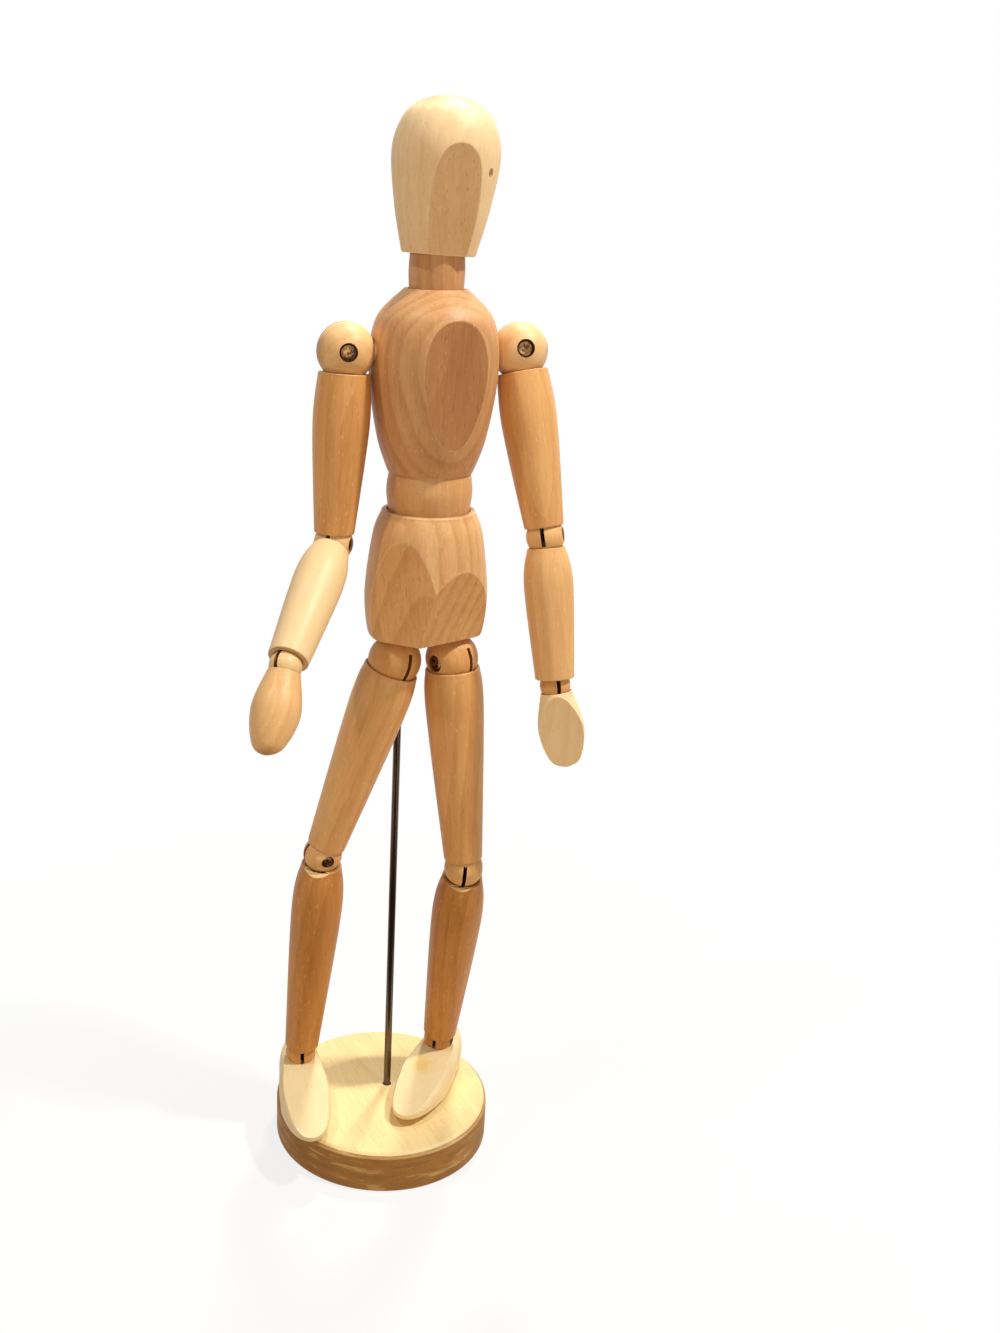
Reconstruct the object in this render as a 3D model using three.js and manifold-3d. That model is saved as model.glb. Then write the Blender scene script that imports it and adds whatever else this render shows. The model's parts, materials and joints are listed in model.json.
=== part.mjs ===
// Wooden artist mannequin on a rod and a round base, standing as in the photo.
// Millimetres, +Z up, the figure faces -Y, and its left is +X.
import * as THREE from 'three';
import { mergeVertices } from 'three/addons/utils/BufferGeometryUtils.js';
import Module from 'manifold-3d';

const wasm = await Module();
wasm.setup();

// Clearances
const SEAT_GAP = 0.3; // ball in its cup, spigot in its bore, pin or screw in its hole
const TONGUE_GAP = 0.3; // tongue in its saw slot and in its mortise
const SOLE_GAP = { right: 2.3, left: 1.1 }; // the rod holds the feet just off the base

// Facets: sides of a full turn, and steps along a profile
const SIDES = { limb: 17, trunk: 24, base: 40, ball: 14, cup: 16, trunkCup: 24, bore: 10, pin: 8 };
const STEPS = { limb: 6, pelvis: 12, chest: 14, head: 15, ball: 8, barrelCap: 5, barrelBand: 4 };
const CUP_RINGS = 0.6; // rings of a hollow ball for each of its sides
const WELD = 1e-4;

// Stand
const BASE = { radius: 35.8, height: 13.8, edge: 1.5, foot: 0.5, socket: 10 };
const ROD = { radius: 1.2, x: 1.8, y: 3.1, inPelvis: 15 };

// Trunk: a turned stack on one upright line
const TRUNK = { x: 9, y: -6.4 };
const PELVIS = {
  height: 38.6, hem: 15.6, seat: 17.3, hipRadius: 18.3, hipLevel: 14, ribRadius: 16.3, ribLevel: 31,
  topRadius: 13.9, edge: 0.8, hemRise: 2, turn: 12,
  flatTurn: { right: -38, left: 34 }, flatLean: { right: 4.5, left: 12.4 },
  flatDepth: { right: 13.6, left: 12.4 },
  hipRise: 7.7, hipSpacing: 17.8, hipSplay: 11, hipTuck: 7,
};
const WAIST = { radius: 12.6, rimRadius: 11.9, band: 11.2, ballRadius: 13.4, boreRadius: 6.4 };
const CHEST = {
  height: 51.2, hem: 12.4, lowRadius: 15.9, lowLevel: 10.5, breastRadius: 18.5, breastLevel: 29,
  domeRadius: 16.7, domeLevel: 42.8, topRadius: 9, turn: 16.5,
  flatTurn: 6, flatLean: 1.5, flatDepth: 15.1,
  shoulderLevel: 34.1, shoulderSpacing: 51.5,
};
const NECK = { radius: 7.9, rimRadius: 7.7, band: 9.1, ballRadius: 9, boreRadius: 4.9 };
const HEAD = {
  height: 41.1, hem: 10.3, jawRadius: 13.3, jawLevel: 13, templeRadius: 14.9, templeLevel: 27,
  crownRadius: 11.9, crownLevel: 36, topRadius: 6.2, topLevel: 40, turn: 17, tilt: 2.8,
  faceDepth: 8.6, faceLean: 10.5,
};

// Springs and cross pins that draw the trunk together
const SPRING = { radius: 1.2, wire: 0.7, wireSides: 5, turnSteps: 7, pitch: 2.8, bore: 2.1 };
const WAIST_SPRING = { below: 16, above: 19 }; // ends, from the middle of the waist
const NECK_SPRING = { below: 11, above: 25.5 }; // ends, from the middle of the neck
const PIN = { radius: 0.8, past: 6, sunk: 0.4 }; // past: how far it goes beyond the spring
const HEAD_PIN_TURN = 39; // the head pin's end shows on the left of the face
const BEND_POCKET = { waist: 6.9, neck: 5.4 }; // room for a spring's end while the trunk bends

// Ball joints: ball, spigot from the ball's middle, and how far the rims stand off the middle
const JOINTS = {
  hip: { ball: 8.05, spigot: 2.6, spigotEnd: 14, eye: 3, limbRim: 3, tang: 12, screw: 'large' },
  knee: {
    ball: 6.2, spigot: 2.1, spigotEnd: 12, eye: 2.4, baseRim: 3.4, limbRim: 3.4, tang: 11, screw: 'small',
  },
  ankle: { ball: 5.1, spigot: 1.9, spigotEnd: 11, eye: 2, baseRim: 3, limbRim: 2.2, tang: 9, screw: 'small' },
  shoulder: { ball: 8.2, spigot: 2.6, spigotEnd: 14, eye: 3, limbRim: 5.9, tang: 13, screw: 'large' },
  elbow: {
    ball: 5.7, spigot: 2, spigotEnd: 11, eye: 2.4, baseRim: 2.9, limbRim: 3.2, tang: 10, screw: 'small',
  },
  wrist: { ball: 4.6, spigot: 1.7, spigotEnd: 10, eye: 2, baseRim: 2.2, limbRim: 2, tang: 9, screw: 'small' },
};
const TONGUE_THICKNESS = 0.6;
const SCREWS = {
  large: { head: 2.3, headHeight: 1.4, shank: 1.2, sunk: 2.4, cross: 2.6, crossWidth: 0.7, crossDepth: 0.8 },
  small: { head: 1.8, headHeight: 1.1, shank: 0.9, sunk: 2, cross: 2, crossWidth: 0.55, crossDepth: 0.6 },
};
const SCREW_PAST = 4; // thread beyond the slot, into the far half of the ball

// Limbs: reach is from joint middle to joint middle, the belly lies below the upper rim
const THIGH = { reach: 70, topRadius: 8.5, belly: 9.1, bellyDrop: 14, endRadius: 6.2, edge: 0.6 };
const SHIN = { reach: 76.5, topRadius: 6.6, belly: 8.3, bellyDrop: 17, endRadius: 5.7, edge: 0.6 };
const UPPER_ARM = { reach: 54, topRadius: 7.5, belly: 8.2, bellyDrop: 15, endRadius: 5.9, edge: 0.6 };
const FOREARM = { reach: 44.5, topRadius: 5.7, belly: 7.4, bellyDrop: 11, endRadius: 5.9, edge: 0.6 };
const HAND = {
  reach: 26, topRadius: 4.8, belly: 7.1, bellyDrop: 11, tipRadius: 4.6, tipRise: 2.8,
  palmDepth: 5.5, palmLean: 14,
};
// The heel rounds about the ankle, and the toe is sprung, so that the foot can roll off the base
const FOOT = {
  heel: 12, heelRound: 13.1, toe: 35, ankleHeight: 12.5, collarBack: 7.5, collarFront: 7, instep: 8.2,
  toeHeight: 5, toeSpring: 2.2, springStart: 17, heelWidth: 7.2, ballWidth: 8.4, ballForward: 15.5,
  toeWidth: 6.8, archHeight: 14, sideHeight: 4.5, steps: 5,
};

// Pose, degrees: lean from straight down, and heading from straight ahead towards the figure's left.
// A screw's heading is where its head faces.
const POSE = {
  right: {
    thigh: { lean: 17.8, heading: -98 }, shin: { lean: 6, heading: -121 }, footHeading: 10,
    upperArm: { lean: 4.2, heading: -41 }, forearm: { lean: 53.5, heading: -18 },
    hand: { lean: 36.5, heading: -15 }, palmHeading: 160,
    screws: { hip: 121, knee: 20, ankle: 100, shoulder: 8, elbow: 73, wrist: -138 },
  },
  left: {
    thigh: { lean: 5.5, heading: 75 }, shin: { heading: -165 }, footHeading: -21,
    upperArm: { lean: 14, heading: 49 }, forearm: { lean: 11.2, heading: 34.5 },
    hand: { lean: 14, heading: 48 }, palmHeading: -7,
    screws: { hip: -45, knee: 90, ankle: 69, shoulder: 11, elbow: 76, wrist: 98 },
  },
};

// Colours
function finish(color, roughness, metalness) {
  return new THREE.MeshStandardMaterial({ color, roughness, metalness });
}

const FINISH = {
  limb: () => finish(0xd3a066, 0.55, 0),
  trunk: () => finish(0xcb9a68, 0.6, 0),
  pale: () => finish(0xe6c894, 0.6, 0),
  base: () => finish(0xd9b988, 0.65, 0),
  chrome: () => finish(0xc9c6c2, 0.15, 1),
  steel: () => finish(0x8b857c, 0.4, 1),
  screw: () => finish(0x6a5a48, 0.35, 1),
};

const model = new THREE.Group();
const UP = new THREE.Vector3(0, 0, 1);
const rad = THREE.MathUtils.degToRad;

// Directions and frames

function ahead(heading) {
  return new THREE.Vector3(Math.sin(rad(heading)), -Math.cos(rad(heading)), 0);
}

function downwards({ lean, heading }) {
  return ahead(heading).multiplyScalar(Math.sin(rad(lean))).addScaledVector(UP, -Math.cos(rad(lean)));
}

function squareTo(vector, axis) {
  return vector.clone().addScaledVector(axis, -vector.dot(axis)).normalize();
}

// A frame with +Z along the axis and +X as near as it can be to the given side
function frame(origin, axis, side) {
  const z = axis.clone().normalize();
  const x = squareTo(side, z);
  const y = new THREE.Vector3().crossVectors(z, x);
  return new THREE.Matrix4().makeBasis(x, y, z).setPosition(origin);
}

// An upright frame whose -Y looks along the heading
function upright(origin, heading) {
  return frame(origin, UP, ahead(heading + 90));
}

const shift = (x, y, z) => new THREE.Matrix4().makeTranslation(x, y, z);

// Solids

function solid(geometry, place = new THREE.Matrix4()) {
  const bare = geometry.clone().applyMatrix4(place);
  bare.deleteAttribute('normal');
  bare.deleteAttribute('uv');
  const welded = mergeVertices(bare, WELD);
  const index = welded.index.array;
  const corners = [];
  for (let i = 0; i < index.length; i += 3) {
    const [a, b, c] = [index[i], index[i + 1], index[i + 2]];
    if (a !== b && b !== c && c !== a) corners.push(a, b, c);
  }
  return new wasm.Manifold(new wasm.Mesh({
    numProp: 3,
    vertProperties: new Float32Array(welded.attributes.position.array),
    triVerts: new Uint32Array(corners),
  }));
}

// Adds one named piece: a solid in world place, kept as a mesh in its own frame
function piece(name, body, place, material) {
  const { vertProperties, triVerts } = body.getMesh();
  const geometry = new THREE.BufferGeometry();
  geometry.setAttribute('position', new THREE.BufferAttribute(vertProperties, 3));
  geometry.setIndex(new THREE.BufferAttribute(triVerts, 1));
  geometry.applyMatrix4(place.clone().invert());
  geometry.computeVertexNormals();
  const mesh = new THREE.Mesh(geometry, material);
  mesh.name = name;
  mesh.applyMatrix4(place);
  model.add(mesh);
}

// Spins a closed outline of [radius, height] points, from its foot to its top, about Z
function turned(points, sides) {
  const outline = points.map(([r, z]) => new THREE.Vector2(r, z));
  return new THREE.LatheGeometry(outline, sides).rotateX(Math.PI / 2);
}

// A smooth run of [radius, height] points through the stations
function flank(stations, steps = STEPS.limb) {
  const curve = new THREE.SplineCurve(stations.map(([r, z]) => new THREE.Vector2(r, z)));
  return curve.getPoints(steps).map((p) => [p.x, p.y]);
}

// An arc of a sphere's outline between two heights, from the lower one up
function sphereRun(radius, from, to, steps) {
  const start = Math.asin(THREE.MathUtils.clamp(from / radius, -1, 1));
  const end = Math.asin(THREE.MathUtils.clamp(to / radius, -1, 1));
  return Array.from({ length: steps + 1 }, (_, i) => {
    const a = start + ((end - start) * i) / steps;
    return [Math.max(radius * Math.cos(a), 0), radius * Math.sin(a)];
  });
}

// A plain round bar along Z between two heights
function bar(radius, from, to, sides) {
  return turned([[0, from], [radius, from], [radius, to], [0, to]], sides);
}

function block(x, y, z) {
  return new THREE.BoxGeometry(x, y, z);
}

const WASTE = 100; // larger than any one piece: the size of a block that cuts away all beyond a plane

// What lies beyond a plane: it faces along the normal, through the point
function beyond(normal, point) {
  const side = Math.abs(normal.x) < 0.9 ? new THREE.Vector3(1, 0, 0) : new THREE.Vector3(0, 1, 0);
  return solid(block(WASTE, WASTE, WASTE).translate(0, 0, WASTE / 2), frame(point, normal, side));
}

// A flat on an upright turned piece: heading, lean back of its top, and depth from the axis at the foot
function flatCut(place, heading, lean, depth) {
  const out = ahead(heading);
  const normal = out.clone().multiplyScalar(Math.cos(rad(lean))).addScaledVector(UP, -Math.sin(rad(lean)));
  const turnOnly = new THREE.Matrix4().extractRotation(place);
  return beyond(normal.applyMatrix4(turnOnly), out.multiplyScalar(depth).applyMatrix4(place));
}

function cup(centre, radius, sides = SIDES.cup) {
  const hollow = new THREE.SphereGeometry(radius + SEAT_GAP, sides, Math.ceil(sides * CUP_RINGS));
  return solid(hollow, new THREE.Matrix4().setPosition(centre));
}

// Ball joints

// Works out a joint: where the ball's spigot points, where the tongue points and where the screw's head faces
function joint(kind, centre, towardsSpigot, towardsTongue, screwHeading) {
  const spec = JOINTS[kind];
  const screwAxis = squareTo(ahead(screwHeading), towardsTongue);
  const spigotAxis = squareTo(towardsSpigot, screwAxis);
  return {
    spec,
    centre,
    ballFrame: frame(centre, spigotAxis, screwAxis),
    tongueFrame: frame(centre, towardsTongue.clone().negate(), screwAxis),
  };
}

function screwSpan(spec) {
  const screw = SCREWS[spec.screw];
  const floor = spec.ball - screw.sunk;
  const under = floor + SEAT_GAP;
  return { screw, floor, under, top: under + screw.headHeight, tip: -SCREW_PAST };
}

// Turns a piece made along Z so that it lies along the ball's screw axis
const ALONG_SCREW = new THREE.Matrix4().makeRotationY(Math.PI / 2);

function ballSolid({ spec, ballFrame }) {
  const shoulder = Math.sqrt(spec.ball ** 2 - spec.spigot ** 2);
  const outline = [
    ...sphereRun(spec.ball, -spec.ball, shoulder, STEPS.ball),
    [spec.spigot, spec.spigotEnd],
    [0, spec.spigotEnd],
  ];
  const blank = solid(turned(outline, SIDES.ball), ballFrame);
  const slotTop = spec.eye + TONGUE_GAP;
  const slotDepth = spec.ball + slotTop + SEAT_GAP;
  const slot = block(TONGUE_THICKNESS + 2 * TONGUE_GAP, 3 * spec.ball, slotDepth);
  const { screw, floor, tip } = screwSpan(spec);
  const hole = turned([
    [0, tip - SEAT_GAP],
    [screw.shank + SEAT_GAP, tip - SEAT_GAP],
    [screw.shank + SEAT_GAP, floor],
    [screw.head + SEAT_GAP, floor],
    [screw.head + SEAT_GAP, 2 * spec.ball],
    [0, 2 * spec.ball],
  ], SIDES.bore);
  return blank
    .subtract(solid(slot.translate(0, 0, slotTop - slotDepth / 2), ballFrame))
    .subtract(solid(hole.applyMatrix4(ALONG_SCREW), ballFrame));
}

function screwSolid({ spec, ballFrame }) {
  const { screw, under, top, tip } = screwSpan(spec);
  const body = turned([
    [0, tip],
    [screw.shank, tip],
    [screw.shank, under],
    [screw.head, under],
    [screw.head, top - screw.crossDepth / 2],
    [screw.head - screw.crossDepth / 2, top],
    [0, top],
  ], SIDES.bore);
  const recess = (turn) => block(screw.cross, screw.crossWidth, 2 * screw.crossDepth)
    .rotateZ(turn)
    .translate(0, 0, top)
    .applyMatrix4(ALONG_SCREW);
  return solid(body.applyMatrix4(ALONG_SCREW), ballFrame)
    .subtract(solid(recess(0), ballFrame))
    .subtract(solid(recess(Math.PI / 2), ballFrame));
}

// A flat strip with a round eye on the screw, and its tang in the limb
function tongueSolid({ spec, tongueFrame }) {
  const { shank } = SCREWS[spec.screw];
  const strip = new THREE.Shape();
  strip.moveTo(-spec.eye, -spec.tang);
  strip.lineTo(spec.eye, -spec.tang);
  strip.lineTo(spec.eye, 0);
  strip.absarc(0, 0, spec.eye, 0, Math.PI, false);
  const eye = new THREE.Path();
  eye.absarc(0, 0, shank + SEAT_GAP, 0, 2 * Math.PI, true);
  strip.holes.push(eye);
  const plate = new THREE.ExtrudeGeometry(strip, {
    depth: TONGUE_THICKNESS, bevelEnabled: false, curveSegments: SIDES.pin / 2,
  });
  plate.translate(0, 0, -TONGUE_THICKNESS / 2).rotateX(Math.PI / 2).rotateZ(Math.PI / 2);
  return solid(plate, tongueFrame);
}

// What the tongue's limb loses: a cup for the ball and a mortise for the tang
function tongueSeat({ spec, centre, tongueFrame }) {
  const depth = spec.tang + TONGUE_GAP;
  const slit = block(TONGUE_THICKNESS + 2 * TONGUE_GAP, 2 * (spec.eye + TONGUE_GAP), depth);
  return cup(centre, spec.ball).add(solid(slit.translate(0, 0, -depth / 2), tongueFrame));
}

// What the spigot's piece loses: a cup for the ball and a bore for the spigot
function spigotSeat({ spec, centre, ballFrame }) {
  const bore = bar(spec.spigot + SEAT_GAP, 0, spec.spigotEnd + SEAT_GAP, SIDES.bore);
  return cup(centre, spec.ball).add(solid(bore, ballFrame));
}

function addJoint(name, made) {
  piece(`${name}_ball`, ballSolid(made), made.ballFrame, FINISH.limb());
  piece(`${name}_screw`, screwSolid(made), made.ballFrame, FINISH.screw());
  piece(`${name}_tongue`, tongueSolid(made), made.tongueFrame, FINISH.steel());
}

// Limbs

function limbBlank(limb, nearRim, farRim) {
  const top = -nearRim;
  const foot = farRim - limb.reach;
  return turned([
    [0, foot],
    [limb.endRadius - limb.edge, foot],
    ...flank([
      [limb.endRadius, foot + limb.edge],
      [limb.belly, top - limb.bellyDrop],
      [limb.topRadius, top - limb.edge],
    ]),
    [limb.topRadius - limb.edge, top],
    [0, top],
  ], SIDES.limb);
}

// A limb hangs along -Z of its frame, from the middle of its upper joint
function hang(from, direction, side) {
  return frame(from, direction.clone().negate(), side);
}

function handBlank() {
  const top = -JOINTS.wrist.limbRim;
  const tip = -HAND.reach;
  return turned([
    ...flank([
      [0, tip],
      [HAND.tipRadius, tip + HAND.tipRise],
      [HAND.belly, top - HAND.bellyDrop],
      [HAND.topRadius, top],
    ]),
    [0, top],
  ], SIDES.limb);
}

// An outline run through, to both sides of its plane
function extruded(shape) {
  return new THREE.ExtrudeGeometry(shape, { depth: WASTE, bevelEnabled: false, curveSegments: FOOT.steps })
    .translate(0, 0, -WASTE / 2);
}

// The foot is a shoe last: its side, its plan and its arched section, each run through the others
function footBlank() {
  const sole = -FOOT.ankleHeight;
  const collar = -JOINTS.ankle.limbRim;
  const heelStart = Math.asin(FOOT.heel / FOOT.heelRound);
  const heelEnd = Math.acos(FOOT.ankleHeight / FOOT.heelRound);
  const side = new THREE.Shape();
  side.moveTo(-FOOT.springStart, sole);
  side.lineTo(-FOOT.toe, sole + FOOT.toeSpring);
  side.quadraticCurveTo(-FOOT.toe, sole + FOOT.toeHeight, -FOOT.ballForward, sole + FOOT.instep);
  side.quadraticCurveTo(-FOOT.collarFront, sole + FOOT.instep, -FOOT.collarFront, collar);
  side.lineTo(FOOT.collarBack, collar);
  side.lineTo(FOOT.heel, -FOOT.heelRound * Math.cos(heelStart));
  side.absarc(0, 0, FOOT.heelRound, heelStart - Math.PI / 2, heelEnd - Math.PI / 2, true);
  const plan = new THREE.Shape();
  plan.moveTo(0, FOOT.heel);
  plan.quadraticCurveTo(FOOT.heelWidth, FOOT.heel, FOOT.heelWidth, 0);
  plan.quadraticCurveTo(FOOT.ballWidth, -FOOT.ballForward / 2, FOOT.ballWidth, -FOOT.ballForward);
  plan.quadraticCurveTo(FOOT.toeWidth, -FOOT.toe, 0, -FOOT.toe);
  plan.quadraticCurveTo(-FOOT.toeWidth, -FOOT.toe, -FOOT.ballWidth, -FOOT.ballForward);
  plan.quadraticCurveTo(-FOOT.ballWidth, -FOOT.ballForward / 2, -FOOT.heelWidth, 0);
  plan.quadraticCurveTo(-FOOT.heelWidth, FOOT.heel, 0, FOOT.heel);
  const arch = new THREE.Shape();
  arch.moveTo(-FOOT.ballWidth, sole);
  arch.lineTo(FOOT.ballWidth, sole);
  arch.lineTo(FOOT.ballWidth, sole + FOOT.sideHeight);
  arch.quadraticCurveTo(FOOT.ballWidth, sole + FOOT.archHeight, 0, sole + FOOT.archHeight);
  arch.quadraticCurveTo(-FOOT.ballWidth, sole + FOOT.archHeight, -FOOT.ballWidth, sole + FOOT.sideHeight);
  return { side, plan, arch };
}

function footSolid(place) {
  const { side, plan, arch } = footBlank();
  const upwards = extruded(plan);
  const across = extruded(side).rotateX(Math.PI / 2).rotateZ(Math.PI / 2);
  const along = extruded(arch).rotateX(Math.PI / 2);
  return solid(across, place).intersect(solid(upwards, place)).intersect(solid(along, place));
}

// Levels up the figure
const ankleLevel = (side) => BASE.height + SOLE_GAP[side] + FOOT.ankleHeight;
const drop = (reach, lean) => reach * Math.cos(rad(lean));
const rightThighDrop = drop(THIGH.reach, POSE.right.thigh.lean);
const rightShinDrop = drop(SHIN.reach, POSE.right.shin.lean);
const hipLevel = ankleLevel('right') + rightThighDrop + rightShinDrop;
const pelvisFoot = hipLevel + PELVIS.hipRise;
const waistMiddle = pelvisFoot + PELVIS.height + WAIST.band / 2;
const chestFoot = waistMiddle + WAIST.band / 2;
const neckMiddle = chestFoot + CHEST.height + NECK.band / 2;
const headFoot = neckMiddle + NECK.band / 2;

// The left shin takes up what the left thigh leaves of the height
const leftShinDrop = hipLevel - drop(THIGH.reach, POSE.left.thigh.lean) - ankleLevel('left');
POSE.left.shin.lean = THREE.MathUtils.radToDeg(Math.acos(leftShinDrop / SHIN.reach));

const onTrunk = (level) => new THREE.Vector3(TRUNK.x, TRUNK.y, level);
const pelvisFrame = upright(onTrunk(pelvisFoot), PELVIS.turn);
const waistFrame = upright(onTrunk(waistMiddle), PELVIS.turn);
const chestFrame = upright(onTrunk(chestFoot), CHEST.turn);
const neckFrame = upright(onTrunk(neckMiddle), CHEST.turn);

// The head sits a little askew: it tilts towards the figure's left about the middle of the neck
const { x: neckX, y: neckY, z: neckZ } = onTrunk(neckMiddle);
const headTilt = shift(neckX, neckY, neckZ)
  .multiply(new THREE.Matrix4().makeRotationAxis(ahead(HEAD.turn), rad(-HEAD.tilt)))
  .multiply(shift(-neckX, -neckY, -neckZ));
const tilted = (place) => place.premultiply(headTilt);
const headFrame = tilted(upright(onTrunk(headFoot), HEAD.turn));
const neckSpringFrame = tilted(upright(onTrunk(neckMiddle), CHEST.turn));

const SIDE = { right: -1, left: 1 };

// Every ball joint of one side, from where the limbs lead
function solveSide(side) {
  const pose = POSE[side];
  const sign = SIDE[side];
  const dir = {
    thigh: downwards(pose.thigh),
    shin: downwards(pose.shin),
    foot: UP.clone().negate(),
    upperArm: downwards(pose.upperArm),
    forearm: downwards(pose.forearm),
    hand: downwards(pose.hand),
  };
  const hip = new THREE.Vector3((sign * PELVIS.hipSpacing) / 2, 0, -PELVIS.hipRise).applyMatrix4(pelvisFrame);
  const knee = hip.clone().addScaledVector(dir.thigh, THIGH.reach);
  const ankle = knee.clone().addScaledVector(dir.shin, SHIN.reach);
  const shoulder = new THREE.Vector3((sign * CHEST.shoulderSpacing) / 2, 0, CHEST.shoulderLevel)
    .applyMatrix4(chestFrame);
  const elbow = shoulder.clone().addScaledVector(dir.upperArm, UPPER_ARM.reach);
  const wrist = elbow.clone().addScaledVector(dir.forearm, FOREARM.reach);
  const splay = Math.sin(rad(PELVIS.hipSplay));
  const tuck = Math.sin(rad(PELVIS.hipTuck));
  const hipSpigot = new THREE.Vector3(-sign * splay, tuck, 1).transformDirection(pelvisFrame);
  const intoChest = new THREE.Vector3(-sign, 0, 0).transformDirection(chestFrame);
  const back = (v) => v.clone().negate();
  const joints = {
    hip: joint('hip', hip, hipSpigot, dir.thigh, pose.screws.hip),
    knee: joint('knee', knee, back(dir.thigh), dir.shin, pose.screws.knee),
    ankle: joint('ankle', ankle, back(dir.shin), dir.foot, pose.screws.ankle),
    shoulder: joint('shoulder', shoulder, intoChest, dir.upperArm, pose.screws.shoulder),
    elbow: joint('elbow', elbow, dir.forearm, back(dir.upperArm), pose.screws.elbow),
    wrist: joint('wrist', wrist, dir.hand, back(dir.forearm), pose.screws.wrist),
  };
  return { dir, joints };
}

const figure = { right: solveSide('right'), left: solveSide('left') };

// Stand

function addBase() {
  const outline = [
    [0, 0],
    [BASE.radius - BASE.foot, 0],
    [BASE.radius, BASE.foot],
    [BASE.radius, BASE.height - BASE.edge],
    [BASE.radius - BASE.edge, BASE.height],
    [0, BASE.height],
  ];
  const socket = bar(ROD.radius + SEAT_GAP, BASE.height - BASE.socket, 2 * BASE.height, SIDES.bore);
  const body = solid(turned(outline, SIDES.base)).subtract(solid(socket, shift(ROD.x, ROD.y, 0)));
  piece('base', body, new THREE.Matrix4(), FINISH.base());
}

const rodFoot = BASE.height - BASE.socket + SEAT_GAP;
const rodTop = pelvisFoot + ROD.inPelvis;

function addRod() {
  const place = shift(ROD.x, ROD.y, 0);
  piece('rod', solid(bar(ROD.radius, rodFoot, rodTop, SIDES.bore), place), place, FINISH.chrome());
}

// Trunk

// A round pin lying fore and aft in a trunk piece, let in from behind
function backPin(place, level, backRadius, grow, past) {
  return solid(bar(PIN.radius + grow, -PIN.past - grow, backRadius + past, SIDES.pin)
    .rotateX(-Math.PI / 2).translate(0, 0, level), place);
}

const pelvisPinLevel = PELVIS.height + WAIST.band / 2 - WAIST_SPRING.below - SEAT_GAP - PIN.radius;
const chestPinLevel = WAIST_SPRING.above - WAIST.band / 2 + SEAT_GAP + PIN.radius;
const headPinLevel = NECK_SPRING.above - NECK.band / 2 + SEAT_GAP + PIN.radius;

function addPelvis() {
  const outline = [
    [0, 0],
    ...flank([
      [PELVIS.hem, 0],
      [PELVIS.seat, PELVIS.hemRise],
      [PELVIS.hipRadius, PELVIS.hipLevel],
      [PELVIS.ribRadius, PELVIS.ribLevel],
      [PELVIS.topRadius, PELVIS.height - PELVIS.edge],
    ], STEPS.pelvis),
    [PELVIS.topRadius - PELVIS.edge, PELVIS.height],
    [0, PELVIS.height],
  ];
  const { flatTurn, flatLean, flatDepth } = PELVIS;
  const pocketFloor = pelvisPinLevel - PIN.radius - SEAT_GAP;
  const pocket = bar(BEND_POCKET.waist, pocketFloor, PELVIS.height, SIDES.bore);
  const rodBore = bar(ROD.radius + SEAT_GAP, 0, rodTop + SEAT_GAP, SIDES.bore);
  let body = solid(turned(outline, SIDES.trunk), pelvisFrame)
    .subtract(flatCut(pelvisFrame, flatTurn.right, flatLean.right, flatDepth.right))
    .subtract(flatCut(pelvisFrame, flatTurn.left, flatLean.left, flatDepth.left))
    .subtract(cup(onTrunk(waistMiddle), WAIST.ballRadius, SIDES.trunkCup))
    .subtract(solid(pocket, pelvisFrame))
    .subtract(backPin(pelvisFrame, pelvisPinLevel, PELVIS.hipRadius, SEAT_GAP, PIN.sunk))
    .subtract(solid(rodBore, shift(ROD.x, ROD.y, 0)));
  for (const { joints } of Object.values(figure)) body = body.subtract(spigotSeat(joints.hip));
  piece('pelvis', body, pelvisFrame, FINISH.trunk());
  const pin = backPin(pelvisFrame, pelvisPinLevel, PELVIS.ribRadius, 0, -PIN.sunk);
  piece('pelvis_pin', pin, pelvisFrame, FINISH.steel());
}

// A short barrel whose ends are parts of one ball, so that both neighbours turn about its middle
function barrel({ radius, rimRadius, band, ballRadius, boreRadius }, place) {
  const edge = Math.sqrt(ballRadius ** 2 - rimRadius ** 2);
  const cap = sphereRun(ballRadius, -ballRadius, -edge, STEPS.barrelCap);
  const outline = [
    ...cap,
    ...flank([[rimRadius, -band / 2], [radius, 0], [rimRadius, band / 2]], STEPS.barrelBand),
    ...cap.map(([r, z]) => [r, -z]).reverse(),
  ];
  const bore = bar(boreRadius, -2 * ballRadius, 2 * ballRadius, SIDES.bore);
  return solid(turned(outline, SIDES.trunk), place).subtract(solid(bore, place));
}

// A coil spring along Z
class Coil extends THREE.Curve {
  constructor(from, to) {
    super();
    Object.assign(this, { from, to });
  }

  getPoint(t, target = new THREE.Vector3()) {
    const level = this.from + (this.to - this.from) * t;
    const angle = (2 * Math.PI * (level - this.from)) / SPRING.pitch;
    return target.set(SPRING.radius * Math.cos(angle), SPRING.radius * Math.sin(angle), level);
  }
}

function springSolid(from, to, place) {
  const corner = (i) => new THREE.Vector2(SPRING.wire / 2, 0)
    .rotateAround(new THREE.Vector2(), (2 * Math.PI * i) / SPRING.wireSides);
  const wire = new THREE.Shape(Array.from({ length: SPRING.wireSides }, (_, i) => corner(i)));
  const inset = SPRING.wire / 2;
  const path = new Coil(from + inset, to - inset);
  const steps = Math.round(((to - from) / SPRING.pitch) * SPRING.turnSteps);
  const coil = new THREE.ExtrudeGeometry(wire, {
    steps, extrudePath: path, bevelEnabled: false,
  });
  return solid(coil, place);
}

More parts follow.
